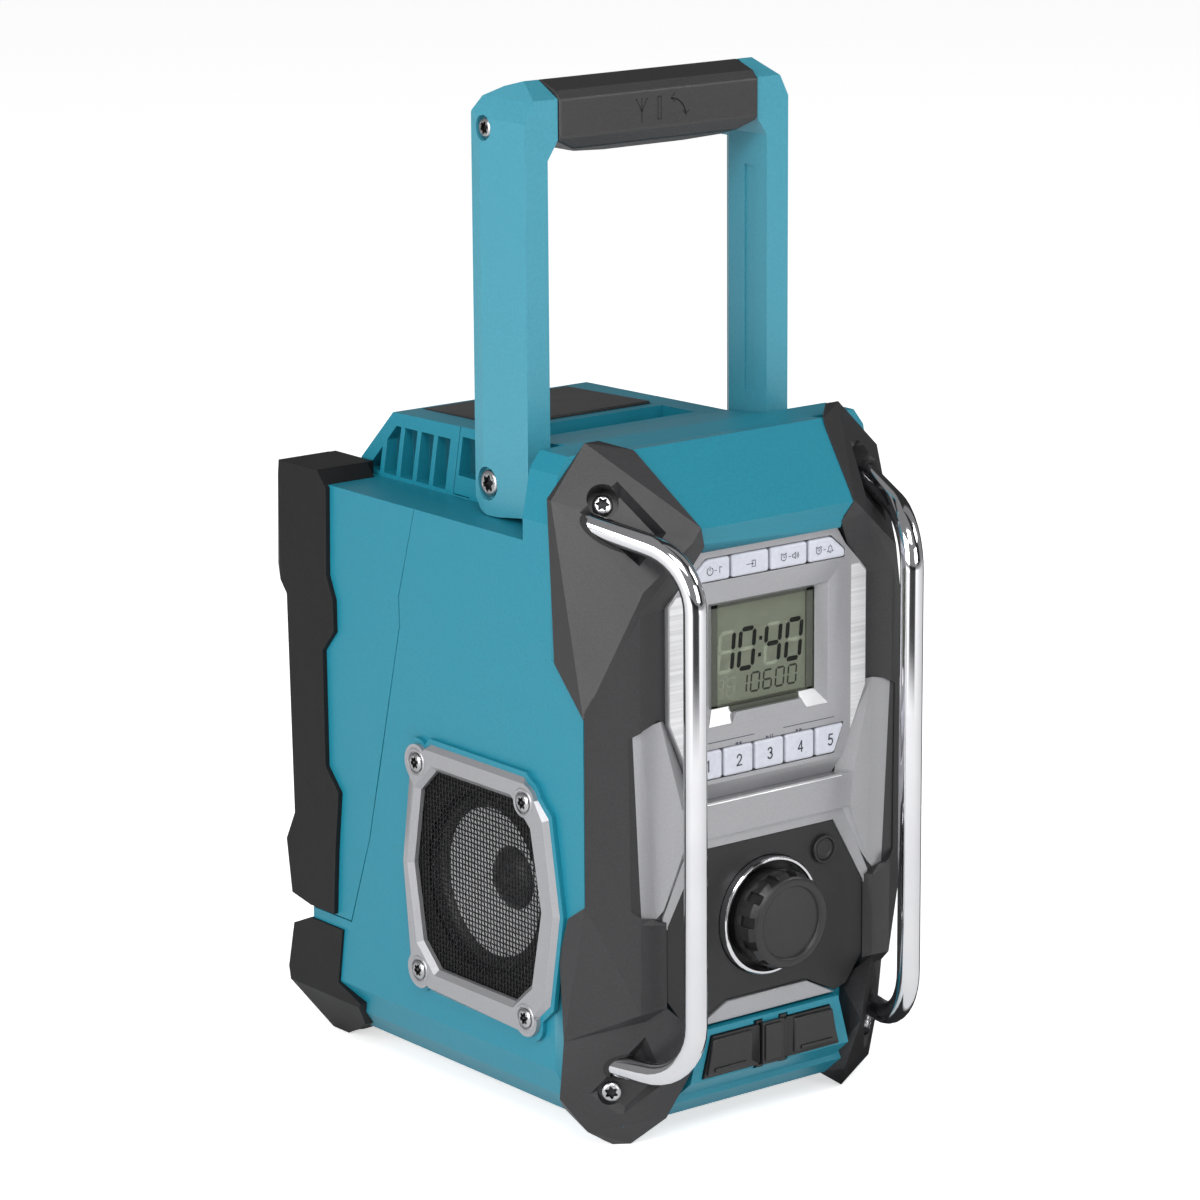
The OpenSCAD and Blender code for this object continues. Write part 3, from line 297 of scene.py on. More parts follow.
# %% Recipe for a moulded finish
BLOOM, SPREAD, BUMP = 0.05, 0.07, 0.5
GRAIN_RANGE, NOISE_RANGE = (0.5, 1.2), (0.3, 0.7)


def shared(tree, name, output, **values):
    """The output of a shared node group, placed with its own values."""
    return add(tree, "ShaderNodeGroup", node_tree=bpy.data.node_groups[name], **values).outputs[output]


def bump(tree, height, strength, depth):
    """The normal of a surface with a fine bump."""
    node = add(tree, "ShaderNodeBump", Strength=strength, Distance=depth)
    feed(tree, node, {"Height": height})
    return node.outputs["Normal"]


def moulded(name, colour, rough, size=900.0, depth=0.00004, pearl=0.3, gloss=0.5, metallic=0.0):
    """Mould grain of that size and depth, and handling marks; pearl is how much specks shine."""
    finish, tree, surface = start(name)
    handled = shared(tree, "handling marks", "Mask")
    relief = shared(tree, "mould grain", "Height", Size=size)
    tint = mix(tree, handled, colour, tuple(c * (1 - BLOOM) for c in colour))
    speck = tuple(min(1, c * (1 + pearl)) for c in colour)
    feed(tree, surface, {
        "Metallic": metallic, "Specular IOR Level": gloss, "Normal": bump(tree, relief, BUMP, depth),
        "Base Color": mix(tree, ramp(tree, relief, *GRAIN_RANGE), tint, speck),
        "Roughness": ramp(tree, handled, 0, 1, rough + SPREAD / 2, rough - SPREAD / 2)})
    return finish


teal = moulded("teal plastic", (0.006, 0.168, 0.236), 0.42, pearl=0.08)
# The handle's arms take a lighter, glossier copy of the teal: painted sheen.
arm_teal_painted_sheen = moulded("handle plastic with painted sheen", (0.042, 0.225, 0.298), 0.31, pearl=0.08)
# Dark teal for the floors of the vent slots: painted shade.
vent_painted_shade = moulded("vent painted shade", (0.003, 0.060, 0.085), 0.6, pearl=0.0, gloss=0.2)
rubber = moulded("bumper rubber", (0.018, 0.0175, 0.0187), 0.44, 1300.0, 0.00006, gloss=0.42)
# The rear bumpers and feet take a darker, duller copy of the bumper rubber: painted shade.
rubber_painted_shade = moulded("rubber in painted shade", (0.006, 0.0058, 0.0062), 0.55, 1300.0, 0.00006, gloss=0.25)
grip_rubber = moulded("grip rubber", (0.021, 0.0205, 0.0213), 0.44, 1600.0, 0.00009)
silver = moulded("silver paint", (0.315, 0.315, 0.33), 0.32, 3000.0, 0.00002, 0.15, metallic=0.6)
black = moulded("black plastic", (0.010, 0.0097, 0.0102), 0.40, 1500.0)
panel_black = moulded("panel plastic", (0.012, 0.0117, 0.0122), 0.46, 1700.0, 0.00003, gloss=0.4)
key_white = moulded("key plastic", (0.46, 0.475, 0.53), 0.32, 500.0, 0.00001, 0.05)
board_green = moulded("board lacquer", (0.02, 0.13, 0.07), 0.35, 300.0, 0.00006, 0.4)
print("materials with the floor's:", len(bpy.data.materials))

# %% [markdown]
# ## Metals
# Bare and plated metal has smudges in its gloss and, on the strips beside the display, the
# lines of a brush.

# %% Recipe for metals
STREAK_DARK, STREAK_BUMP = 0.78, 0.7


def metal(name, colour, smudged, rough, size=26.0, lines=0.0, spread=0.05):
    """Smudges of that size that also dull the gloss; lines is the depth of brushed lines."""
    finish, tree, surface = start(name)
    handled = shared(tree, "handling marks", "Mask", Size=size)
    tint = mix(tree, handled, colour, smudged)
    if lines:
        stroked = shared(tree, "brushed lines", "Height")
        streaks = ramp(tree, stroked, *NOISE_RANGE, STREAK_DARK)
        tint = mix(tree, 1.0, tint, streaks, blend_type="MULTIPLY")
        feed(tree, surface, {"Normal": bump(tree, stroked, STREAK_BUMP, lines)})
    feed(tree, surface, {"Metallic": 1.0, "Base Color": tint,
                         "Roughness": ramp(tree, handled, 0, 1, rough, rough + spread)})
    return finish


chrome = metal("bar chrome", (0.70, 0.70, 0.72), (0.65, 0.65, 0.68), 0.05)
screw_steel = metal("screw steel", (0.50, 0.50, 0.51), (0.42, 0.42, 0.43), 0.26, 300.0)
# Dark steel for the walls and floors of the screw sockets: painted shade.
socket_painted_shade = metal("socket steel in painted shade", (0.05, 0.05, 0.052), (0.035, 0.035, 0.036), 0.5, 300.0)
brushed = metal("brushed strip", (0.86, 0.86, 0.88), (0.80, 0.80, 0.82), 0.52, lines=0.00008)
plain_steel = metal("plain steel", (0.50, 0.50, 0.51), (0.42, 0.42, 0.43), 0.34, 60.0)
mesh_wire = metal("mesh wire", (0.045, 0.045, 0.047), (0.03, 0.03, 0.031), 0.38, 200.0, spread=0.15)
mirror_lip = metal("polished lip", (0.72, 0.72, 0.73), (0.66, 0.66, 0.67), 0.42, 60.0)
print("materials with metals:", len(bpy.data.materials))

# %% [markdown]
# ## Paper, display and print
# The speaker cone is pressed paper with fine fibres. The display cell is an olive film in two
# close tones, and its unlit bars are only a little darker than that. Figures and key marks
# are a dark matt ink. The window over the display is clear but for faint smears.

# %% Cone paper, display film, ink and window


def printed(name, colour, faded, rough, size, depth, gloss=0.5):
    """Thin film, paper or ink: two tones and a bump from one noise."""
    finish, tree, surface = start(name)
    fibre = add(tree, "ShaderNodeTexNoise", Scale=size, Detail=4.0, Roughness=0.6)
    feed(tree, fibre, {"Vector": add(tree, "ShaderNodeTexCoord").outputs["Object"]})
    height = fibre.outputs["Fac"]
    feed(tree, surface, {
        "Specular IOR Level": gloss, "Normal": bump(tree, height, BUMP, depth),
        "Base Color": mix(tree, ramp(tree, height, *NOISE_RANGE), colour, faded),
        "Roughness": ramp(tree, height, *NOISE_RANGE, rough, rough + 0.1)})
    return finish


cone_paper = printed("cone paper", (0.55, 0.55, 0.56), (0.46, 0.46, 0.47), 0.6, 600, 0.0001)
cap_black = printed("dust cap", (0.020, 0.020, 0.021), (0.014, 0.014, 0.015), 0.4, 500, 0.00005)
# Black felt behind the speaker mesh; the same finish paints the shadow in the mouths of the bar holes.
felt = printed("speaker felt and bar shadow", (0.010, 0.010, 0.010), (0.016, 0.016, 0.016), 0.85, 900, 0.0001)
display_film = printed("display film", (0.185, 0.208, 0.150), (0.25, 0.28, 0.205), 0.32, 9, 0.00001)
ghost_ink = printed("ghost ink", (0.168, 0.189, 0.136), (0.228, 0.255, 0.187), 0.32, 9, 0.00001)
figure_ink = printed("figure ink", (0.004, 0.005, 0.004), (0.008, 0.009, 0.008), 0.6, 400, 0.00001, 0.1)
faint_ink = printed("faint ink", (0.022, 0.026, 0.019), (0.032, 0.036, 0.027), 0.6, 400, 0.00001, 0.1)
key_ink = printed("key ink", (0.06, 0.065, 0.085), (0.08, 0.085, 0.105), 0.5, 400, 0.00001, 0.1)
# Dark olive for a frame round the display film: painted shade of the window's walls.
painted_bezel_shade = printed("display painted shade", (0.045, 0.05, 0.036), (0.06, 0.066, 0.048), 0.5, 300, 0.00001)
pressed_dark = printed("pressed sign", (0.008, 0.008, 0.009), (0.014, 0.014, 0.015), 0.7, 300, 0.00002)

window, tree, clear = start("display window")
smears = ramp(tree, shared(tree, "handling marks", "Mask"), 0, 1, 0.03, 0.045)
feed(tree, clear, {"Base Color": (0.08, 0.085, 0.08, 1), "Roughness": 0.04,
                   "Coat Weight": 0.3, "Alpha": smears})
print("materials with films and inks:", len(bpy.data.materials))

# %% [markdown]
# ## Softening a moulding
# Moulded parts have no knife edges. Each solid is copied, its flat faces are joined again,
# and a Bevel modifier rounds the sharp edges. The copy stands in for the solid, which keeps
# its place for collisions, hidden. Sharp edges are marked, so that flats stay flat under
# smoothing.

# %% Soften the edges of a solid
body_of = {n: b for b, names in frame["record"]["behaviour"]["bodies"].items() for n in names}
SAME_SPOT, SAME_LEVEL, SHORT_RIM = 0.00002, 0.00001, 0.006
SAME_FLAT, FLAT_CREASE = math.radians(0.6), 9.5


def settle(piece, node, *replaced):
    """Hang a piece on a node's body, and let it stand for nodes."""
    scene.collection.objects.link(piece)
    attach(piece, body_of[node])
    if replaced:
        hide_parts(*replaced)
    return piece


def slope_rims(work, side, width):
    """Cut broad slopes along the long rims of a flat frame that faces +X or -X."""
    proud = max(v.co.x * side for v in work.verts)
    rims = [edge for edge in work.edges if len(edge.link_faces) == 2
            and all(abs(v.co.x * side - proud) < SAME_LEVEL for v in edge.verts)
            and any(abs(f.normal.x) < 0.5 for f in edge.link_faces) and edge.calc_length() > SHORT_RIM]
    bmesh.ops.bevel(work, geom=rims, offset=width / 1000, offset_type="WIDTH", segments=1,
                    affect="EDGES", profile=0.5)


def soften(node, finish, width, steps=2, angle=30, crease=None, slope=0.0, mend=None):
    """A copy of a CAD node with joined flats and rounded edges, width and slope in mm.

    Edges sharper than `angle` are rounded, and shading stops at those sharper than `crease`.
    """
    shape = frame["nodes"][node].data.copy()
    work = bmesh.new()
    work.from_mesh(shape)
    if mend:
        mend(work)
    bmesh.ops.remove_doubles(work, verts=work.verts, dist=SAME_SPOT)
    bmesh.ops.dissolve_limit(work, angle_limit=SAME_FLAT, verts=work.verts, edges=work.edges)
    if slope:
        slope_rims(work, 1 if node.endswith("right") else -1, slope)
    for face in work.faces:
        face.smooth = True
    work.to_mesh(shape)
    work.free()
    shape.set_sharp_from_angle(angle=math.radians(crease or angle))
    shape.materials.clear()
    shape.materials.append(finish)
    piece = bpy.data.objects.new(node.replace("_", " ").title().replace(" ", "_"), shape)
    if width:
        round_over = piece.modifiers.new("rounded edges", "BEVEL")
        round_over.width, round_over.segments = width / 1000, steps
        round_over.limit_method, round_over.angle_limit = "ANGLE", math.radians(angle)
        round_over.harden_normals = True
        round_over.miter_outer = "MITER_ARC"
    return settle(piece, node, node)


print("ready to soften")

# %% [markdown]
# ## Shell, bumpers and handle
# The teal shell is a hard moulding with crisp, barely rounded edges. The black rubber is
# softer, so its facets meet in wider rounds. The handle's arms and grip are the roundest,
# because a hand holds them. Facets here meet at shallow angles, so shading stops at a much
# smaller angle than rounding does.

# %% Dress the large mouldings
for finish, width, steps, nodes in (
        (teal, 0.5, 2, "main_casing front_casing"),
        (teal, 0.6, 2, "rear_cover"),
        (rubber, 1.0, 3, "front_bumper_left front_bumper_right"),
        (rubber_painted_shade, 1.2, 3, "rear_bumper_left rear_bumper_right rear_foot_left rear_foot_right"),
        (arm_teal_painted_sheen, 1.4, 3, "handle_arm_left handle_arm_right"),
        (grip_rubber, 1.6, 3, "grip_cover"),
        (rubber, 0.5, 2, "top_panel"),
        (rubber, 0.7, 2, "door_latch")):
    for node in nodes.split():
        piece = soften(node, finish, width, steps, crease=FLAT_CREASE)
        print(piece.name, len(piece.data.polygons), "faces before rounding")

# %% [markdown]
# ## Console, keys and trims
# The console, the winged yoke and the speaker frames are painted silver. The keys are white,
# each with its own rounded cap, and the covers at the foot are black rubber.

# %% Dress the console
BAND_END, BAND_TOP_END, BAND_LOW_END = 0.047, 0.044, 0.042
BAND_BACK, BAND_MIDDLE = -0.0971, 0.13


def flush_band(work):
    """Draw the band's square ends back to where it meets the wings, so that no step shows."""
    for corner in work.verts:
        x, y, z = corner.co
        if abs(abs(x) - BAND_END) < SAME_LEVEL and y < BAND_BACK:
            corner.co.x = math.copysign(BAND_TOP_END if z > BAND_MIDDLE else BAND_LOW_END, x)


soften("front_yoke", silver, 0.9, 3, crease=FLAT_CREASE, mend=flush_band)
for node, finish, width in (
        ("console", silver, 0.4), ("lower_trim", silver, 0.5), ("knob_panel", panel_black, 0.5),
        ("battery_bay", black, 0.4), ("terminal_block", black, 0.3), ("port_strap", black, 0.3),
        ("usb_cover", black, 0.5), ("aux_cover", black, 0.5)):
    soften(node, finish, width)
soften("usb_socket", plain_steel, 0.1, steps=1)
soften("knob", black, 0.5)
for tag, side in SIDES:
    soften(f"speaker_frame_{tag}", silver, 0.5, crease=FLAT_CREASE, slope=3.0)
keys = [f"function_key_{k}" for k in range(1, 5)] + [f"preset_key_{k}" for k in range(1, 6)]
for node in keys:
    soften(node, key_white, 1.3, 4)
print("keys:", len(keys))

# %% [markdown]
# Each silver frame stands on a low teal plinth of the shell, a little larger than itself.

# %% Raise the plinths
PLINTH_SCALE, PLINTH_SHARE = 1.04, 0.5
WALL = 0.081
for tag, side in SIDES:
    node = f"speaker_frame_{tag}"
    shape = frame["nodes"][node].data.copy()
    low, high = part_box(node)
    middle = (low + high) / 2
    for corner in shape.vertices:
        x, y, z = corner.co
        corner.co = (side * (WALL + (abs(x) - WALL) * PLINTH_SHARE),
                     middle.y + (y - middle.y) * PLINTH_SCALE, middle.z + (z - middle.z) * PLINTH_SCALE)
    shape.materials.clear()
    shape.materials.append(teal)
    settle(bpy.data.objects.new(f"speaker_plinth_{tag}", shape), "main_casing")
print("plinths raised")

# %% [markdown]
# ## Pieces that keep their solids
# Inner parts and small parts with no moulded edge in sight only take a finish.

# %% Finish the kept solids
for finish, nodes in (
        (black, "grip_core aux_socket ferrite_aerial round_button"),
        (plain_steel, "speaker_driver_left speaker_driver_right encoder_body encoder_shaft door_pins"),
        (display_film, "lcd_module"),
        (window, "display_window"),
        (board_green, "main_board")):
    for node in nodes.split():
        solid = frame["nodes"][node]
        solid.data.materials.clear()
        solid.data.materials.append(finish)
print("kept solids dressed")

# %% [markdown]
# ## Bars and ring
# Guard bars and the ring round the knob are smooth metal, so their copies are shaded smooth
# and only real corners stay sharp.

# %% Smooth bars and ring
for tag, side in SIDES:
    soften(f"guard_bar_{tag}", chrome, 0, angle=50)
soften("knob_ring", chrome, 0.15, angle=40)
print("bars and ring smooth")

# %% [markdown]
# ## Speaker mesh
# The grille is woven wire: every wire goes over one neighbour and under the next. Each wire
# is a thin square tube that changes sides at every crossing, and it is cut to the outline
# of the opening in the silver frame. A ring of black felt lies behind its rim.

# %% Weave the mesh
PITCH, WIRE, SWING = 0.00205, 0.00042, 0.00026
MESH_PROUD = 0.0002
FELT_X, FELT_MOUTH, FELT_STEPS, FELT_REACH = 0.07995, 0.0368, 96, 0.0005


def inside(outline, y, z):
    """True where (y, z) lies inside the closed outline."""
    hit = False
    for (y0, z0), (y1, z1) in zip(outline, outline[1:] + outline[:1]):
        if (z0 > z) != (z1 > z) and y < (y1 - y0) * (z - z0) / (z1 - z0) + y0:
            hit = not hit
    return hit


def opening_outline(node):
    """Corners of the thin grille plate as (y, z) in metres, in order round its middle."""
    corners = {(round(v.co.y, 5), round(v.co.z, 5)) for v in frame["nodes"][node].data.vertices}
    my, mz = (sum(c[axis] for c in corners) / len(corners) for axis in (0, 1))
    return sorted(corners, key=lambda c: math.atan2(c[1] - mz, c[0] - my))


def weave(node, outline, side):
    """Woven wire in place of a grille plate. side is 1 on the right and -1 on the left."""
    low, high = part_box(node)
    middle = (low.x + high.x) / 2 + side * MESH_PROUD
    half = WIRE / 2
    points, faces = [], []

    def wire(fixed, along_z, turn):
        start, end = (low.z, high.z) if along_z else (low.y, high.y)
        run = []
        for k in range(int((end - start) / PITCH) + 1):
            s = start + k * PITCH
            y, z = (fixed, s) if along_z else (s, fixed)
            if inside(outline, y, z):
                run.append((y, z, middle + side * SWING * (1 if (k + turn) % 2 else -1)))
        first = len(points)
        for y, z, x in run:
            for da, db in ((-1, -1), (1, -1), (1, 1), (-1, 1)):
                dy, dz = (da * half, 0) if along_z else (0, da * half)
                points.append((x + db * half, y + dy, z + dz))
        for q in range(first, len(points) - 4, 4):
            faces.extend((q + i, q + (i + 1) % 4, q + 4 + (i + 1) % 4, q + 4 + i) for i in range(4))

    for k in range(int((high.y - low.y) / PITCH) + 1):
        wire(low.y + k * PITCH, True, k)
    for k in range(int((high.z - low.z) / PITCH) + 1):
        wire(low.z + k * PITCH, False, k + 1)
    piece = build(node.replace("grille", "woven_mesh"), points, faces, mesh_wire, smooth=True)
    return settle(piece, node, node)


def liner(tag, outline, side):
    """Black felt ring behind the wires, from the round mouth to the grille's outline."""
    low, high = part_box(f"speaker_cone_{tag}")
    y0, z0, x = (low.y + high.y) / 2, (low.z + high.z) / 2, side * FELT_X
    points, faces = [], []
    for k in range(FELT_STEPS):
        angle = 2 * math.pi * k / FELT_STEPS
        dy, dz = math.cos(angle), math.sin(angle)
        reach = FELT_MOUTH
        while inside(outline, y0 + dy * reach, z0 + dz * reach):
            reach += FELT_REACH
        points += [(x, y0 + dy * FELT_MOUTH, z0 + dz * FELT_MOUTH), (x, y0 + dy * reach, z0 + dz * reach)]
        a, b = 2 * k, 2 * ((k + 1) % FELT_STEPS)
        faces.append((a, a + 1, b + 1, b) if side > 0 else (a, b, b + 1, a + 1))
    settle(build(f"speaker_liner_{tag}", points, faces, felt), f"speaker_grille_{tag}")


for tag, side in SIDES:
    opening = opening_outline(f"speaker_grille_{tag}")
    woven = weave(f"speaker_grille_{tag}", opening, side)
    liner(tag, opening, side)
    print(woven.name, len(woven.data.polygons), "faces")

# %% [markdown]
# ## Speaker cones
# Behind the mesh sit a ribbed paper cone, a rolled rubber surround and a domed dust cap. One
# profile is turned round the speaker's axis for each.

# %% Turn a profile round an axis
TURNED_CREASE = math.radians(42)
RIBS, RIB_DEPTH, ROLL, CAP_R, CONE_DEPTH, CONE_BEND = 12, 0.35, 6.5, 13.0, 9.6, 0.9
DUST_CAP = [(13.0, -12.2), (12.6, -11.4), (10.5, -9.4), (7.5, -8.0), (4.0, -7.2), (0.0, -6.9)]


def turned(name, profile, centre, axis, finish, steps=64, lobes=None):
    """Surface of revolution. profile holds (radius, height along axis) in mm."""
    axis = Vector(axis).normalized()
    side = axis.orthogonal().normalized()
    other = axis.cross(side)
    points, faces = [], []
    for r, h in profile:
        for k in range(steps):
            a = 2 * math.pi * k / steps
            scale = lobes(r, a) if lobes else 1.0
            spoke = side * math.cos(a) + other * math.sin(a)
            points.append(centre + spoke * r * scale / 1000 + axis * h / 1000)
    for row in range(0, len(points) - steps, steps):
        for k in range(steps):
            j = (k + 1) % steps
            faces.append((row + k, row + j, row + steps + j, row + steps + k))
    if profile[-1][0] < 0.01:
        faces = faces[:-steps]
        tip = len(points) - steps
        faces += [(tip - steps + k, tip - steps + (k + 1) % steps, tip) for k in range(steps)]
        points = points[:tip + 1]
    piece = build(name, points, faces, finish, smooth=True)
    piece.data.set_sharp_from_angle(angle=TURNED_CREASE)
    return piece


for tag, side in SIDES:
    low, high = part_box(f"speaker_cone_{tag}")
    hub = Vector(((high.x if side > 0 else low.x), (low.y + high.y) / 2, (low.z + high.z) / 2))
    r = (high.z - low.z) * 500
    roll = [(r, -2.4), (r - 1.6, -0.6), (r - 3.2, 0.0), (r - 4.8, -0.6), (r - 6.4, -2.6)]
    ribs = [(r - ROLL - k * (r - ROLL - CAP_R) / RIBS,
             -2.6 - CONE_DEPTH * (k / RIBS) ** CONE_BEND - (RIB_DEPTH if k % 2 else 0))
            for k in range(RIBS + 1)]
    for name, profile, finish, replaced in (("cone_surround", roll, cap_black, ()),
                                            ("paper_cone", ribs, cone_paper, (f"speaker_cone_{tag}",)),
                                            ("dust_cap", DUST_CAP, cap_black, ())):
        piece = turned(f"{name}_{tag}", profile, hub, (side, 0, 0), finish)
        settle(piece, f"speaker_cone_{tag}", *replaced)
print("cones turned")

# %% [markdown]
# ## Screws
# Every screw head is turned from one profile, and the socket in it is a six-lobed star: the
# turning radius swings in and out six times round wherever the profile is inside the star.
# The walls and the floor of the socket are much darker: painted shade for the depth of the socket.

# %% Turn the screw heads
HEAD_STEPS, SOCKET_ROWS, SOCKET_SHARE, SOCKET_RIM, LOBE = 60, 4, 0.54, 0.4, 0.2
TOP_SUNK, LOW_PROUD, FRAME_PROUD = 0.0005, 0.0015, 0.0008
BOSS = [(6.0, -3.6), (6.0, -0.75), (5.7, -0.45), (5.2, -0.4), (4.75, -0.6), (4.6, -1.6)]
FRAME_CORNERS = ((37.7, 43.2), (-33.3, 42.2), (37.7, -44), (-33.3, -46))


def at(x, y, z):
    """A point given in the drawing's millimetres, as metres in the radio's frame."""
    return Vector((x, y + 10.2, z)) / 1000


def mirrored(point, side):
    """The point itself on the right, or its mirror image on the left."""
    return Vector((point.x * side, point.y, point.z))


def screw(name, top, out, head_r, rim, node, first=False):
    """Screw head with its outer face at `top`, facing `out`; radius and rim height in mm.

    The CAD holds each kind of screw as one node, and the first head of a kind stands for it.
    """
    hole = head_r * SOCKET_SHARE
    profile = [(head_r, -rim), (head_r, -0.9), (head_r - 0.25, -0.45), (head_r - 0.9, -0.12),
               (hole + 0.7, 0.0), (hole + 0.1, -0.06), (hole, -0.3), (hole * 0.93, -1.9),
               (hole * 0.5, -2.1), (0.0, -2.15)]

    def star(r, angle):
        return 1 + LOBE * math.cos(6 * angle) if r < hole + SOCKET_RIM else 1.0

    head = turned(name, profile, top, out, screw_steel, HEAD_STEPS, star)
    # The socket's walls and floor take the dark steel: painted shade for their depth.
    head.data.materials.append(socket_painted_shade)
    for face in head.data.polygons[(len(profile) - SOCKET_ROWS) * HEAD_STEPS:]:
        face.material_index = 1
    return settle(head, node, *([node] if first else []))


for tag, side in SIDES:
    first = tag == "left"
    face = Vector((0.53 * side, -0.69, 0.49)).normalized()
    foot = Vector((0.644 * side, -0.762, -0.06)).normalized()
    top_seat = mirrored(at(62.9, -82.8, 259.3), side) - face * TOP_SUNK
    low_seat = mirrored(at(66.4, -90.5, 25), side) + foot * LOW_PROUD
    screw(f"bumper_screw_top_{tag}", top_seat, face, 4.0, 3.0, "bumper_screws", first)
    screw(f"bumper_screw_low_{tag}", low_seat, foot, 4.0, 3.0, "bumper_screws")
    low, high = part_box(f"speaker_frame_{tag}")
    frame_x = (high.x if side > 0 else low.x) + side * FRAME_PROUD
    for k, (dy, dz) in enumerate(FRAME_CORNERS):
        spot = at(0, -26 + dy, 97 + dz)
        spot.x = frame_x
        screw(f"speaker_screw_{tag}_{k + 1}", spot, (side, 0, 0), 4.0, 2.4, "speaker_screws",
              first and k == 0)
        boss = turned(f"screw_boss_{tag}_{k + 1}", BOSS, spot, (side, 0, 0), silver, 48)
        settle(boss, f"speaker_frame_{tag}")
    foot_seat = mirrored(at(59.5, 89.5, 3.6), side)
    screw(f"foot_screw_{tag}", foot_seat, (0, 0, -1), 4.0, 2.4, "foot_screws", first)
    for label, r, node in (("pivot", 5.4, "handle_pivots"), ("grip", 4.0, "grip_screws")):
        low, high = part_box(node)
        spot = (low + high) / 2
        spot.x = high.x if side > 0 else low.x
        screw(f"{label}_screw_{tag}", spot, (side, 0, 0), r, 2.4, node, first)

# %% [markdown]
# A guard bar runs on into a wider hole at either end. A round stub carries the bar into the
# rubber, and a dark rim, laid on the rubber along the bar's own direction, stands for the
# shadow in the mouth of the hole.

# %% Seat the bar ends
HOLE_R, MOUTH_R, RIM_STEPS = 0.0048, 0.0060, 60
RIM_PROUD, LOOK_BACK = 0.0003, 0.02
STUB = [(4.6, -2.0), (4.6, 12.0)]
BAR_ENDS = (("top", at(68.2, -90.5, 251.2), at(54.8, -128.8, 243.5)),
            ("low", at(63.5, -94.0, 35.5), at(54.8, -128.8, 35.5)))


def seat(tag, label, end, bend):
    """Stub and dark rim where the bar, coming from `bend`, enters the rubber at `end`."""
    into = (end - bend).normalized()
    stub = turned(f"bar_stub_{label}_{tag}", STUB, end, into, chrome, 28)
    settle(stub, f"guard_bar_{tag}")
    across = into.orthogonal().normalized()
    other = into.cross(across)
    bumper = frame["nodes"][f"front_bumper_{tag}"].data
    rubber_faces = BVHTree.FromPolygons([v.co for v in bumper.vertices],
                                        [tuple(p.vertices) for p in bumper.polygons])
    points = []
    for k in range(RIM_STEPS):
        angle = 2 * math.pi * k / RIM_STEPS
        spoke = across * math.cos(angle) + other * math.sin(angle)
        for reach in (HOLE_R, MOUTH_R):
            spot = rubber_faces.ray_cast(end + spoke * reach - into * LOOK_BACK, into)[0]
            points.append(spot - into * RIM_PROUD if spot else end + spoke * reach)
    count = len(points)
    faces = [(k, k + 1, (k + 3) % count, (k + 2) % count) for k in range(0, count, 2)]
    # The rim is painted shadow, in the dark felt finish.
    settle(build(f"bar_mouth_shadow_{label}_{tag}", points, faces, felt), f"front_bumper_{tag}")


for tag, side in SIDES:
    for label, end, bend in BAR_ENDS:
        seat(tag, label, mirrored(end, side), mirrored(bend, side))
print("bar ends seated")

# %% [markdown]
# ## Flat marks
# Figures and pictograms are strokes of even width. Each stroke is a run of small quads with
# a disc at every joint, drawn as points in X and Z and laid just in front of a face.

# %% Draw strokes


def stroke(points, width, closed=False):
    """Quads along a line and eight-sided discs at its points, as loops of (x, z) in mm."""
    loops, half = [], width / 2
    ends = list(points) + ([points[0]] if closed else [])
    for (x0, z0), (x1, z1) in zip(ends, ends[1:]):
        run = math.hypot(x1 - x0, z1 - z0)
        nx, nz = -(z1 - z0) / run * half, (x1 - x0) / run * half
        loops.append([(x0 - nx, z0 - nz), (x1 - nx, z1 - nz), (x1 + nx, z1 + nz), (x0 + nx, z0 + nz)])
    for x, z in ends:
        loops.append(ring(x, z, half, 0, 315, 7))
    return loops


def ring(x, z, r, start=0.0, end=360.0, steps=20):
    """Points of an arc round (x, z), angles in degrees from +X towards +Z."""
    angles = [math.radians(start + (end - start) * k / steps) for k in range(steps + 1)]
    return [(x + r * math.cos(a), z + r * math.sin(a)) for a in angles]


def moved(loops, dx, dz):
    """The same loops, shifted in X and Z."""
    return [[(x + dx, z + dz) for x, z in loop] for loop in loops]


def mark(name, loops, y, finish, node, thick=0.0):
    """Loops of (x, z) on a node at Y = y, facing the front; thick raises them towards it."""
    points, faces = [], []
    for loop in loops:
        n, base = len(loop), len(points)
        area = sum(a[0] * b[1] - b[0] * a[1] for a, b in zip(loop, loop[1:] + loop[:1]))
        loop = loop if area > 0 else loop[::-1]
        points += [at(x, y - thick, z) for x, z in loop]
        faces.append(tuple(range(base, base + n)))
        if thick:
            points += [at(x, y, z) for x, z in loop]
            faces += [(base + k, base + n + k, base + n + (k + 1) % n, base + (k + 1) % n)
                      for k in range(n)]
            faces.append(tuple(range(base + 2 * n - 1, base + n - 1, -1)))
    return settle(build(name, points, faces, finish), node)


print("strokes ready")

# %% [markdown]
# The preset keys carry the figures 1 to 5, drawn from a small table of lines.

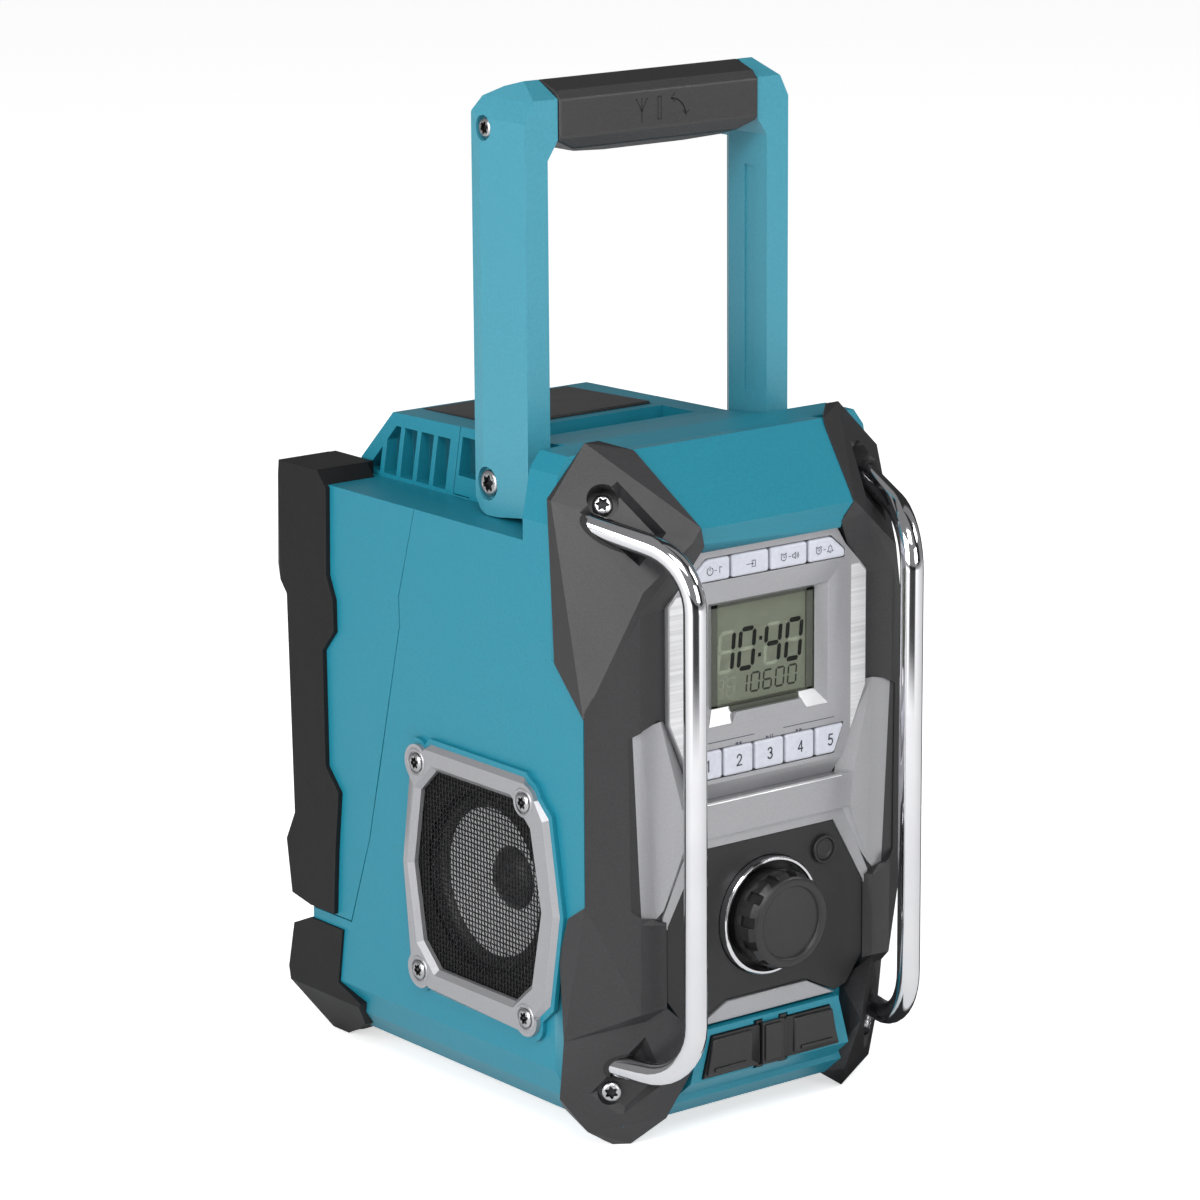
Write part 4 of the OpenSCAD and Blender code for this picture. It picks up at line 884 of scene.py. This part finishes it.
# %% Number the preset keys
KEY_FRONT = -107.86
FIGURE_FOOT, FIGURE_HEIGHT, FIGURE_WIDTH, FIGURE_LINE, FIGURE_SHIFT = 152.6, 4.3, 0.62, 0.62, -1.3
FIGURES = {
    "1": [[(0.22, 0.78), (0.55, 1.0), (0.55, 0.0)]],
    "2": [[(0.08, 0.74), (0.2, 0.93), (0.5, 1.0), (0.8, 0.9), (0.88, 0.7), (0.74, 0.47), (0.05, 0.0),
           (0.92, 0.0)]],
    "3": [[(0.1, 0.84), (0.3, 0.98), (0.62, 1.0), (0.84, 0.84), (0.8, 0.63), (0.48, 0.53)],
          [(0.48, 0.53), (0.84, 0.43), (0.9, 0.2), (0.66, 0.02), (0.32, 0.0), (0.08, 0.16)]],
    "4": [[(0.7, 0.0), (0.7, 1.0), (0.05, 0.28), (0.95, 0.28)]],
    "5": [[(0.84, 1.0), (0.22, 1.0), (0.14, 0.53), (0.46, 0.63), (0.78, 0.54), (0.9, 0.3),
           (0.68, 0.04), (0.32, 0.0), (0.07, 0.14)]],
}


def middle_x(node):
    """Middle of a node's box along X, in mm."""
    low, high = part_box(node)
    return (low.x + high.x) * 500


for figure, shapes in FIGURES.items():
    node = f"preset_key_{figure}"
    x = middle_x(node) + FIGURE_SHIFT
    loops = []
    for shape in shapes:
        loops += stroke([(x + px * FIGURE_HEIGHT * FIGURE_WIDTH, FIGURE_FOOT + pz * FIGURE_HEIGHT)
                         for px, pz in shape], FIGURE_LINE)
    mark(f"preset_figure_{figure}", loops, KEY_FRONT, key_ink, node)
print("preset keys numbered:", "".join(FIGURES))

# %% [markdown]
# The four wide keys carry plain pictograms: a power ring, a source arrow, and an alarm clock
# with a loudspeaker or a bell. Each is drawn round (0, 0) and then moved to its key.

# %% Pictograms on the wide keys
SIGN_Z = 232.3
POWER = stroke(ring(0, 0, 1.5, 120, 420), 0.36) + stroke([(0, 0.3), (0, 1.9)], 0.36)
SWITCH = stroke([(2.2, -1.1), (2.2, 1.2), (3.3, 0.9)], 0.34)
DASH = stroke([(-0.5, 0), (0.5, 0)], 0.3)
SOURCE = (stroke([(0.4, 1.2), (2.2, 1.2), (2.2, -1.2), (0.4, -1.2)], 0.32)
          + stroke([(-2.2, 0), (1.1, 0)], 0.32) + stroke([(0.4, 0.7), (1.1, 0), (0.4, -0.7)], 0.32))
CLOCK = (stroke(ring(0, 0, 1.3), 0.32) + stroke([(0, 0.8), (0, 0), (0.6, 0)], 0.28)
         + stroke([(-1.5, 1.2), (-0.9, 1.7)], 0.34) + stroke([(1.5, 1.2), (0.9, 1.7)], 0.34))
SPEAKER = (stroke([(-1.5, -0.5), (-0.8, -0.5), (0.1, -1.3), (0.1, 1.3), (-0.8, 0.5), (-1.5, 0.5)],
                  0.3, closed=True)
           + stroke(ring(0.2, 0, 0.8, -50, 50, 8), 0.3) + stroke(ring(0.2, 0, 1.5, -50, 50, 8), 0.3))
BELL = (stroke([(-1.5, -1.0), (-0.9, -0.4), (-0.8, 0.7), (0, 1.5), (0.8, 0.7), (0.9, -0.4), (1.5, -1.0)],
               0.3, closed=True)
        + stroke([(-0.3, -1.5), (0.3, -1.5)], 0.34))
KEY_SIGNS = (((POWER, -1.0), (DASH, 1.8), (SWITCH, 1.6)),
             ((SOURCE, 0),),
             ((CLOCK, -3), (DASH, 0), (SPEAKER, 2.9)),
             ((CLOCK, -4.6), (DASH, -1.6), (BELL, 1.3)))
for number, signs in enumerate(KEY_SIGNS, 1):
    node = f"function_key_{number}"
    loops = []
    for sign, shift in signs:
        loops += moved(sign, shift + middle_x(node), SIGN_Z)
    mark(f"function_mark_{number}", loops, KEY_FRONT, key_ink, node)
print("function keys marked")

# %% [markdown]
# A thin line runs over the preset keys, with double arrows for seeking and a sign for pause.

# %% Line and arrows above the preset keys
CONSOLE_FACE = -107.06
ARROW_FOOT, ARROW_TIP, ARROW_TOP, ARROW_HALF = 160.6, 161.3, 162.0, 0.8
line = stroke([(-36, 163.6), (-7.5, 163.6)], 0.32) + stroke([(7.5, 163.6), (33.5, 163.6)], 0.32)
for x, side in ((-15.6, -1), (15.6, 1)):
    for step in (-0.9, 0.9):
        foot, tip = x + step - side * ARROW_HALF, x + step + side * ARROW_HALF
        line.append([(foot, ARROW_TOP), (foot, ARROW_FOOT), (tip, ARROW_TIP)])
line.append([(-1.5, ARROW_TOP), (-1.5, ARROW_FOOT), (0.1, ARROW_TIP)])
line += stroke([(0.9, 160.7), (0.9, 161.9)], 0.36) + stroke([(1.9, 160.7), (1.9, 161.9)], 0.36)
mark("preset_line", line, CONSOLE_FACE, key_ink, "console")
print("line and arrows laid")

# %% [markdown]
# ## Display
# The display shows a time and a row of smaller figures, as slanted bars on the olive film.
# Bars that are switched off show as faint ghosts behind them.

# %% Light up the display
BARS = {"0": "abcdef", "1": "bc", "4": "fgbc", "6": "afgedc", "8": "abcdefg"}
PLACES = {"a": ((0, 2), (1, 2)), "b": ((1, 2), (1, 1)), "c": ((1, 1), (1, 0)), "d": ((0, 0), (1, 0)),
          "e": ((0, 1), (0, 0)), "f": ((0, 2), (0, 1)), "g": ((0, 1), (1, 1))}
FILM, LEAN, BAR_GAP, BAR_TIP = -102.36, 0.09, 0.62, 0.8
TIME_FOOT, SMALL_FOOT = 189.4, 179.4
TIME = (("1", -22.0), ("0", -11.6), ("4", 1.6), ("0", 12.4))


def bars(letter, x, z, w, h, thick):
    """Bars of one figure, w wide and h high, with lower left corner at (x, z), as loops."""
    loops, gap, half = [], thick * BAR_GAP, thick / 2
    for key in BARS[letter]:
        (a, b), (c, d) = PLACES[key]
        x0, z0, x1, z1 = a * w, b * h / 2, c * w, d * h / 2
        run = math.hypot(x1 - x0, z1 - z0)
        ux, uz = (x1 - x0) / run, (z1 - z0) / run
        near, far = (x0 + ux * gap, z0 + uz * gap), (x1 - ux * gap, z1 - uz * gap)
        loop = []
        for (px, pz), along, across in ((near, -BAR_TIP, 0), (near, 0, 1), (far, 0, 1),
                                        (far, BAR_TIP, 0), (far, 0, -1), (near, 0, -1)):
            px += (ux * along - uz * across) * half
            pz += (uz * along + ux * across) * half
            loop.append((x + px + pz * LEAN, z + pz))
        loops.append(loop)
    return loops


time_bars = []
for letter, x in TIME:
    time_bars += bars(letter, x, TIME_FOOT, 7.0, 15.6, 1.95)
for z in (193.6, 200.2):
    x = -1.2 + (z - TIME_FOOT) * LEAN
    time_bars.append([(x - 0.8, z - 0.8), (x + 0.8, z - 0.8), (x + 0.8, z + 0.8), (x - 0.8, z + 0.8)])
small_bars = []
for k, letter in enumerate("10600"):
    small_bars += bars(letter, -11.8 + k * 6.3, SMALL_FOOT, 4.1, 7.4, 0.85)
ghosts = []
for x in (-23.6, -17.6):
    ghosts += bars("8", x, SMALL_FOOT, 3.9, 7.0, 0.5)
for letter, x in TIME:
    ghosts += bars("8", x, TIME_FOOT, 7.0, 15.6, 1.5)
for name, loops, y, ink in (("time", time_bars, FILM, figure_ink),
                            ("channel", small_bars, FILM, faint_ink),
                            ("ghost", ghosts, FILM + 0.03, ghost_ink)):
    mark(f"{name}_figures", loops, y, ink, "lcd_module")
print("bars:", len(time_bars) + len(small_bars))

# %% [markdown]
# A dark frame of painted shade lies round the film, for the window's walls in shadow, with a
# silver sill under it and a strip of painted shadow between them. Two polished lips slope down from
# its lower corners, a polished strip on the yoke's top edge gives it a painted highlight, and a
# brushed strip lies on either side of the console.

# %% Painted shade round the film, sill, polished lips, painted highlight and strips
PAINTED_SHADE_Y, PAINTED_SHADE_DEPTH = -102.4, 0.5
LIP_PROUD = Vector((0, -0.00005, 0.00003))


def slab(name, corners, finish, node):
    """One flat face through the corners, seen from the side where they run anticlockwise."""
    settle(build(name, corners, [tuple(range(len(corners)))], finish), node)


# Painted shade: dark bars along the film's sides and ends, where the window's walls fall in shadow.
for tag, side in SIDES:
    edge = [(side * x, z) for x, z in ((22.6, 175.9), (25.9, 175.9), (25.9, 216.9), (22.6, 216.9))]
    mark(f"painted_shade_frame_{tag}", [edge], PAINTED_SHADE_Y, painted_bezel_shade, "lcd_module", PAINTED_SHADE_DEPTH)
rim = [[(-25.9, 215.7), (25.9, 215.7), (25.9, 216.9), (-25.9, 216.9)],
       [(-25.9, 175.9), (25.9, 175.9), (25.9, 176.6), (-25.9, 176.6)]]
mark("painted_shade_frame_ends", rim, PAINTED_SHADE_Y, painted_bezel_shade, "lcd_module", PAINTED_SHADE_DEPTH)
sill = [(-18.8, 169.3), (18.8, 169.3), (16.6, 174.0), (-16.6, 174.0)]
mark("display_sill", [sill], -105.2, silver, "console", 1.86)
# Painted shadow: a dark strip in the gap between the sill and the film.
shadow_strip = [(-17.2, 173.4), (17.2, 173.4), (17.2, 175.9), (-17.2, 175.9)]
mark("sill_painted_shadow", [shadow_strip], -103.2, painted_bezel_shade, "lcd_module", 1.5)
# A sloped strip on the yoke's top edge in the polished finish, brighter than the yoke's silver paint: a
# real edge with a painted highlight.
edge = [at(*corner) for corner in ((-37.5, -107.62, 138.75), (37.5, -107.62, 138.75),
                                   (37.5, -107.05, 139.65), (-37.5, -107.05, 139.65))]
slab("yoke_edge_highlight", edge, mirror_lip, "front_yoke")
for tag, side in SIDES:
    slope = [(19.4, -107.0, 169.9), (30.3, -107.0, 169.9), (26.0, -103.35, 175.7), (17.3, -103.35, 175.7)]
    corners = [mirrored(at(*corner) + LIP_PROUD, side) for corner in slope]
    slab(f"display_lip_{tag}", corners[::side], mirror_lip, "console")
    strip = [(side * x, z) for x, z in ((42.2, 224.2), (46.4, 224.2), (49.7, 220.6), (49.7, 174.4),
                                        (42.2, 157.6))]
    mark(f"brushed_strip_{tag}", [strip], -107.0, brushed, "console", 0.14)
print("display finished")

# %% [markdown]
# ## Grip pictograms
# The rubber grip has three small pictograms pressed into its front: an aerial, a mast and a
# turning arrow.

# %% Press the grip's pictograms
GRIP_FRONT, SIGN_FOOT = -41.06, 396.6
signs = (stroke([(-9.5, 0), (-9.5, 9.2)], 0.6) + stroke([(-12.2, 9.2), (-9.5, 4.4), (-6.8, 9.2)], 0.6)
         + stroke([(-1.4, 0.6), (-1.4, 9.4), (0.2, 9.4), (0.2, 0.6)], 0.5, closed=True)
         + stroke(ring(5.0, 0.6, 7.6, 8, 86, 12), 0.6)
         + stroke([(6.9, 10.0), (5.3, 8.2), (7.1, 6.9)], 0.55)
         + stroke([(11.2, 3.0), (12.5, 1.4), (14.0, 2.8)], 0.55))
mark("grip_signs", moved(signs, 0, SIGN_FOOT), GRIP_FRONT, pressed_dark, "grip_cover")
print("grip signs:", len(signs), "loops")

# %% [markdown]
# ## Port covers
# Each port cover has a raised pad with a lip on it for a fingernail, and the strap between
# them has a pad of its own.

# %% Raise the pads and pulls


def pad(name, outline, y, thick, node, round_mm=0.7):
    """A raised pad on a port cover, with rounded rims."""
    piece = mark(name, [outline], y, black, node, thick)
    soft = piece.modifiers.new("round rims", "BEVEL")
    soft.width, soft.segments, soft.limit_method = round_mm / 1000, 3, "ANGLE"
    for face in piece.data.polygons:
        face.use_smooth = True
    piece.data.set_sharp_from_angle(angle=math.radians(40))


for side, node in ((-1, "usb_cover"), (1, "aux_cover")):
    cover = [(side * 11.0, 29.2), (side * 33.8, 29.2), (side * 30.8, 43.8), (side * 11.0, 43.8)]
    pad(node.replace("cover", "pad"), cover, -109.5, 1.2, node)
    pull = [(side * 14.0, 30.4), (side * 30.6, 30.4), (side * 30.3, 31.9), (side * 14.2, 31.9)]
    pad(node.replace("cover", "pull"), pull, -110.6, 0.8, node, 0.3)
pad("strap_pad", [(-4.3, 29.0), (4.3, 29.0), (4.3, 44.2), (-4.3, 44.2)], -110.1, 1.0, "port_strap")
print("pads and pulls raised")

# %% [markdown]
# ## Rims
# The knob and the round button have a turned rim on their faces, and the button stands in a
# low collar of the panel.

# %% Turn the rims
KNOB_RIM = [(18.6, -0.3), (18.2, 0.25), (17.4, 0.55), (15.4, 0.55), (14.8, 0.3), (14.5, -0.3)]
BUTTON_RIM = [(4.0, -0.2), (3.9, 0.22), (3.6, 0.35), (3.2, 0.28), (2.9, 0.0)]
COLLAR = [(5.9, -0.1), (5.7, 0.3), (5.2, 0.42), (4.7, 0.3), (4.55, -0.4)]
FRONT = (0, -1, 0)


def face_of(node):
    """Middle of a node's front face."""
    low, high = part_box(node)
    return Vector(((low.x + high.x) / 2, low.y, (low.z + high.z) / 2))


for name, node, profile, steps in (("knob_lip", "knob", KNOB_RIM, 72),
                                   ("button_lip", "round_button", BUTTON_RIM, 48)):
    settle(turned(name, profile, face_of(node), FRONT, black, steps), node)
collar_at = face_of("round_button")
collar_at.y = at(0, -107, 0).y
settle(turned("button_collar", COLLAR, collar_at, FRONT, panel_black, 48), "knob_panel")
print("rims turned")

# %% [markdown]
# ## Vent slots
# The blind slots in the top's flanks look deep, because their floors get painted shade: a darker
# teal face on each. The rearmost slots end under the slope of the hump.

# %% Paint shade on the floors of the slots
SLOT_X, SLOT_START, SLOT_STEP, SLOT_LEN, SLOTS = 47.06, 31.5, 11.3, 8.4, 5
SLOT_FOOT, SLOT_HEAD = 244.6, 264.3
SLOPE_Y, SLOPE = 68.6, 1.184
FRONT_SLOT = [(11.1, 251.6), (23.4, 251.6), (23.4, 266.9), (11.1, 266.9)]


def slot_floor_shade(name, side, outline, node):
    """A dark face of painted shade on a slot's floor, looking out to that side, from points (y, z) in mm.
    """
    corners = [mirrored(at(SLOT_X, y, z), side) for y, z in outline]
    slab(name, corners[::side], vent_painted_shade, node)


def head(y):
    """Height of a slot's upper end at y, under the hump's level edge or its slope."""
    return min(SLOT_HEAD, SLOT_HEAD - SLOPE * (y - SLOPE_Y))


for tag, side in SIDES:
    slot_floor_shade(f"front_slot_shade_{tag}", side, FRONT_SLOT, "main_casing")
    for k in range(SLOTS):
        y0 = SLOT_START + SLOT_STEP * k
        y1 = y0 + SLOT_LEN
        outline = [(y0, SLOT_FOOT), (y1, SLOT_FOOT), (y1, head(y1))]
        if y0 < SLOPE_Y < y1:
            outline.append((SLOPE_Y, SLOT_HEAD))
        outline.append((y0, head(y0)))
        slot_floor_shade(f"rear_slot_shade_{tag}_{k + 1}", side, outline, "rear_cover")
print("slots darkened")
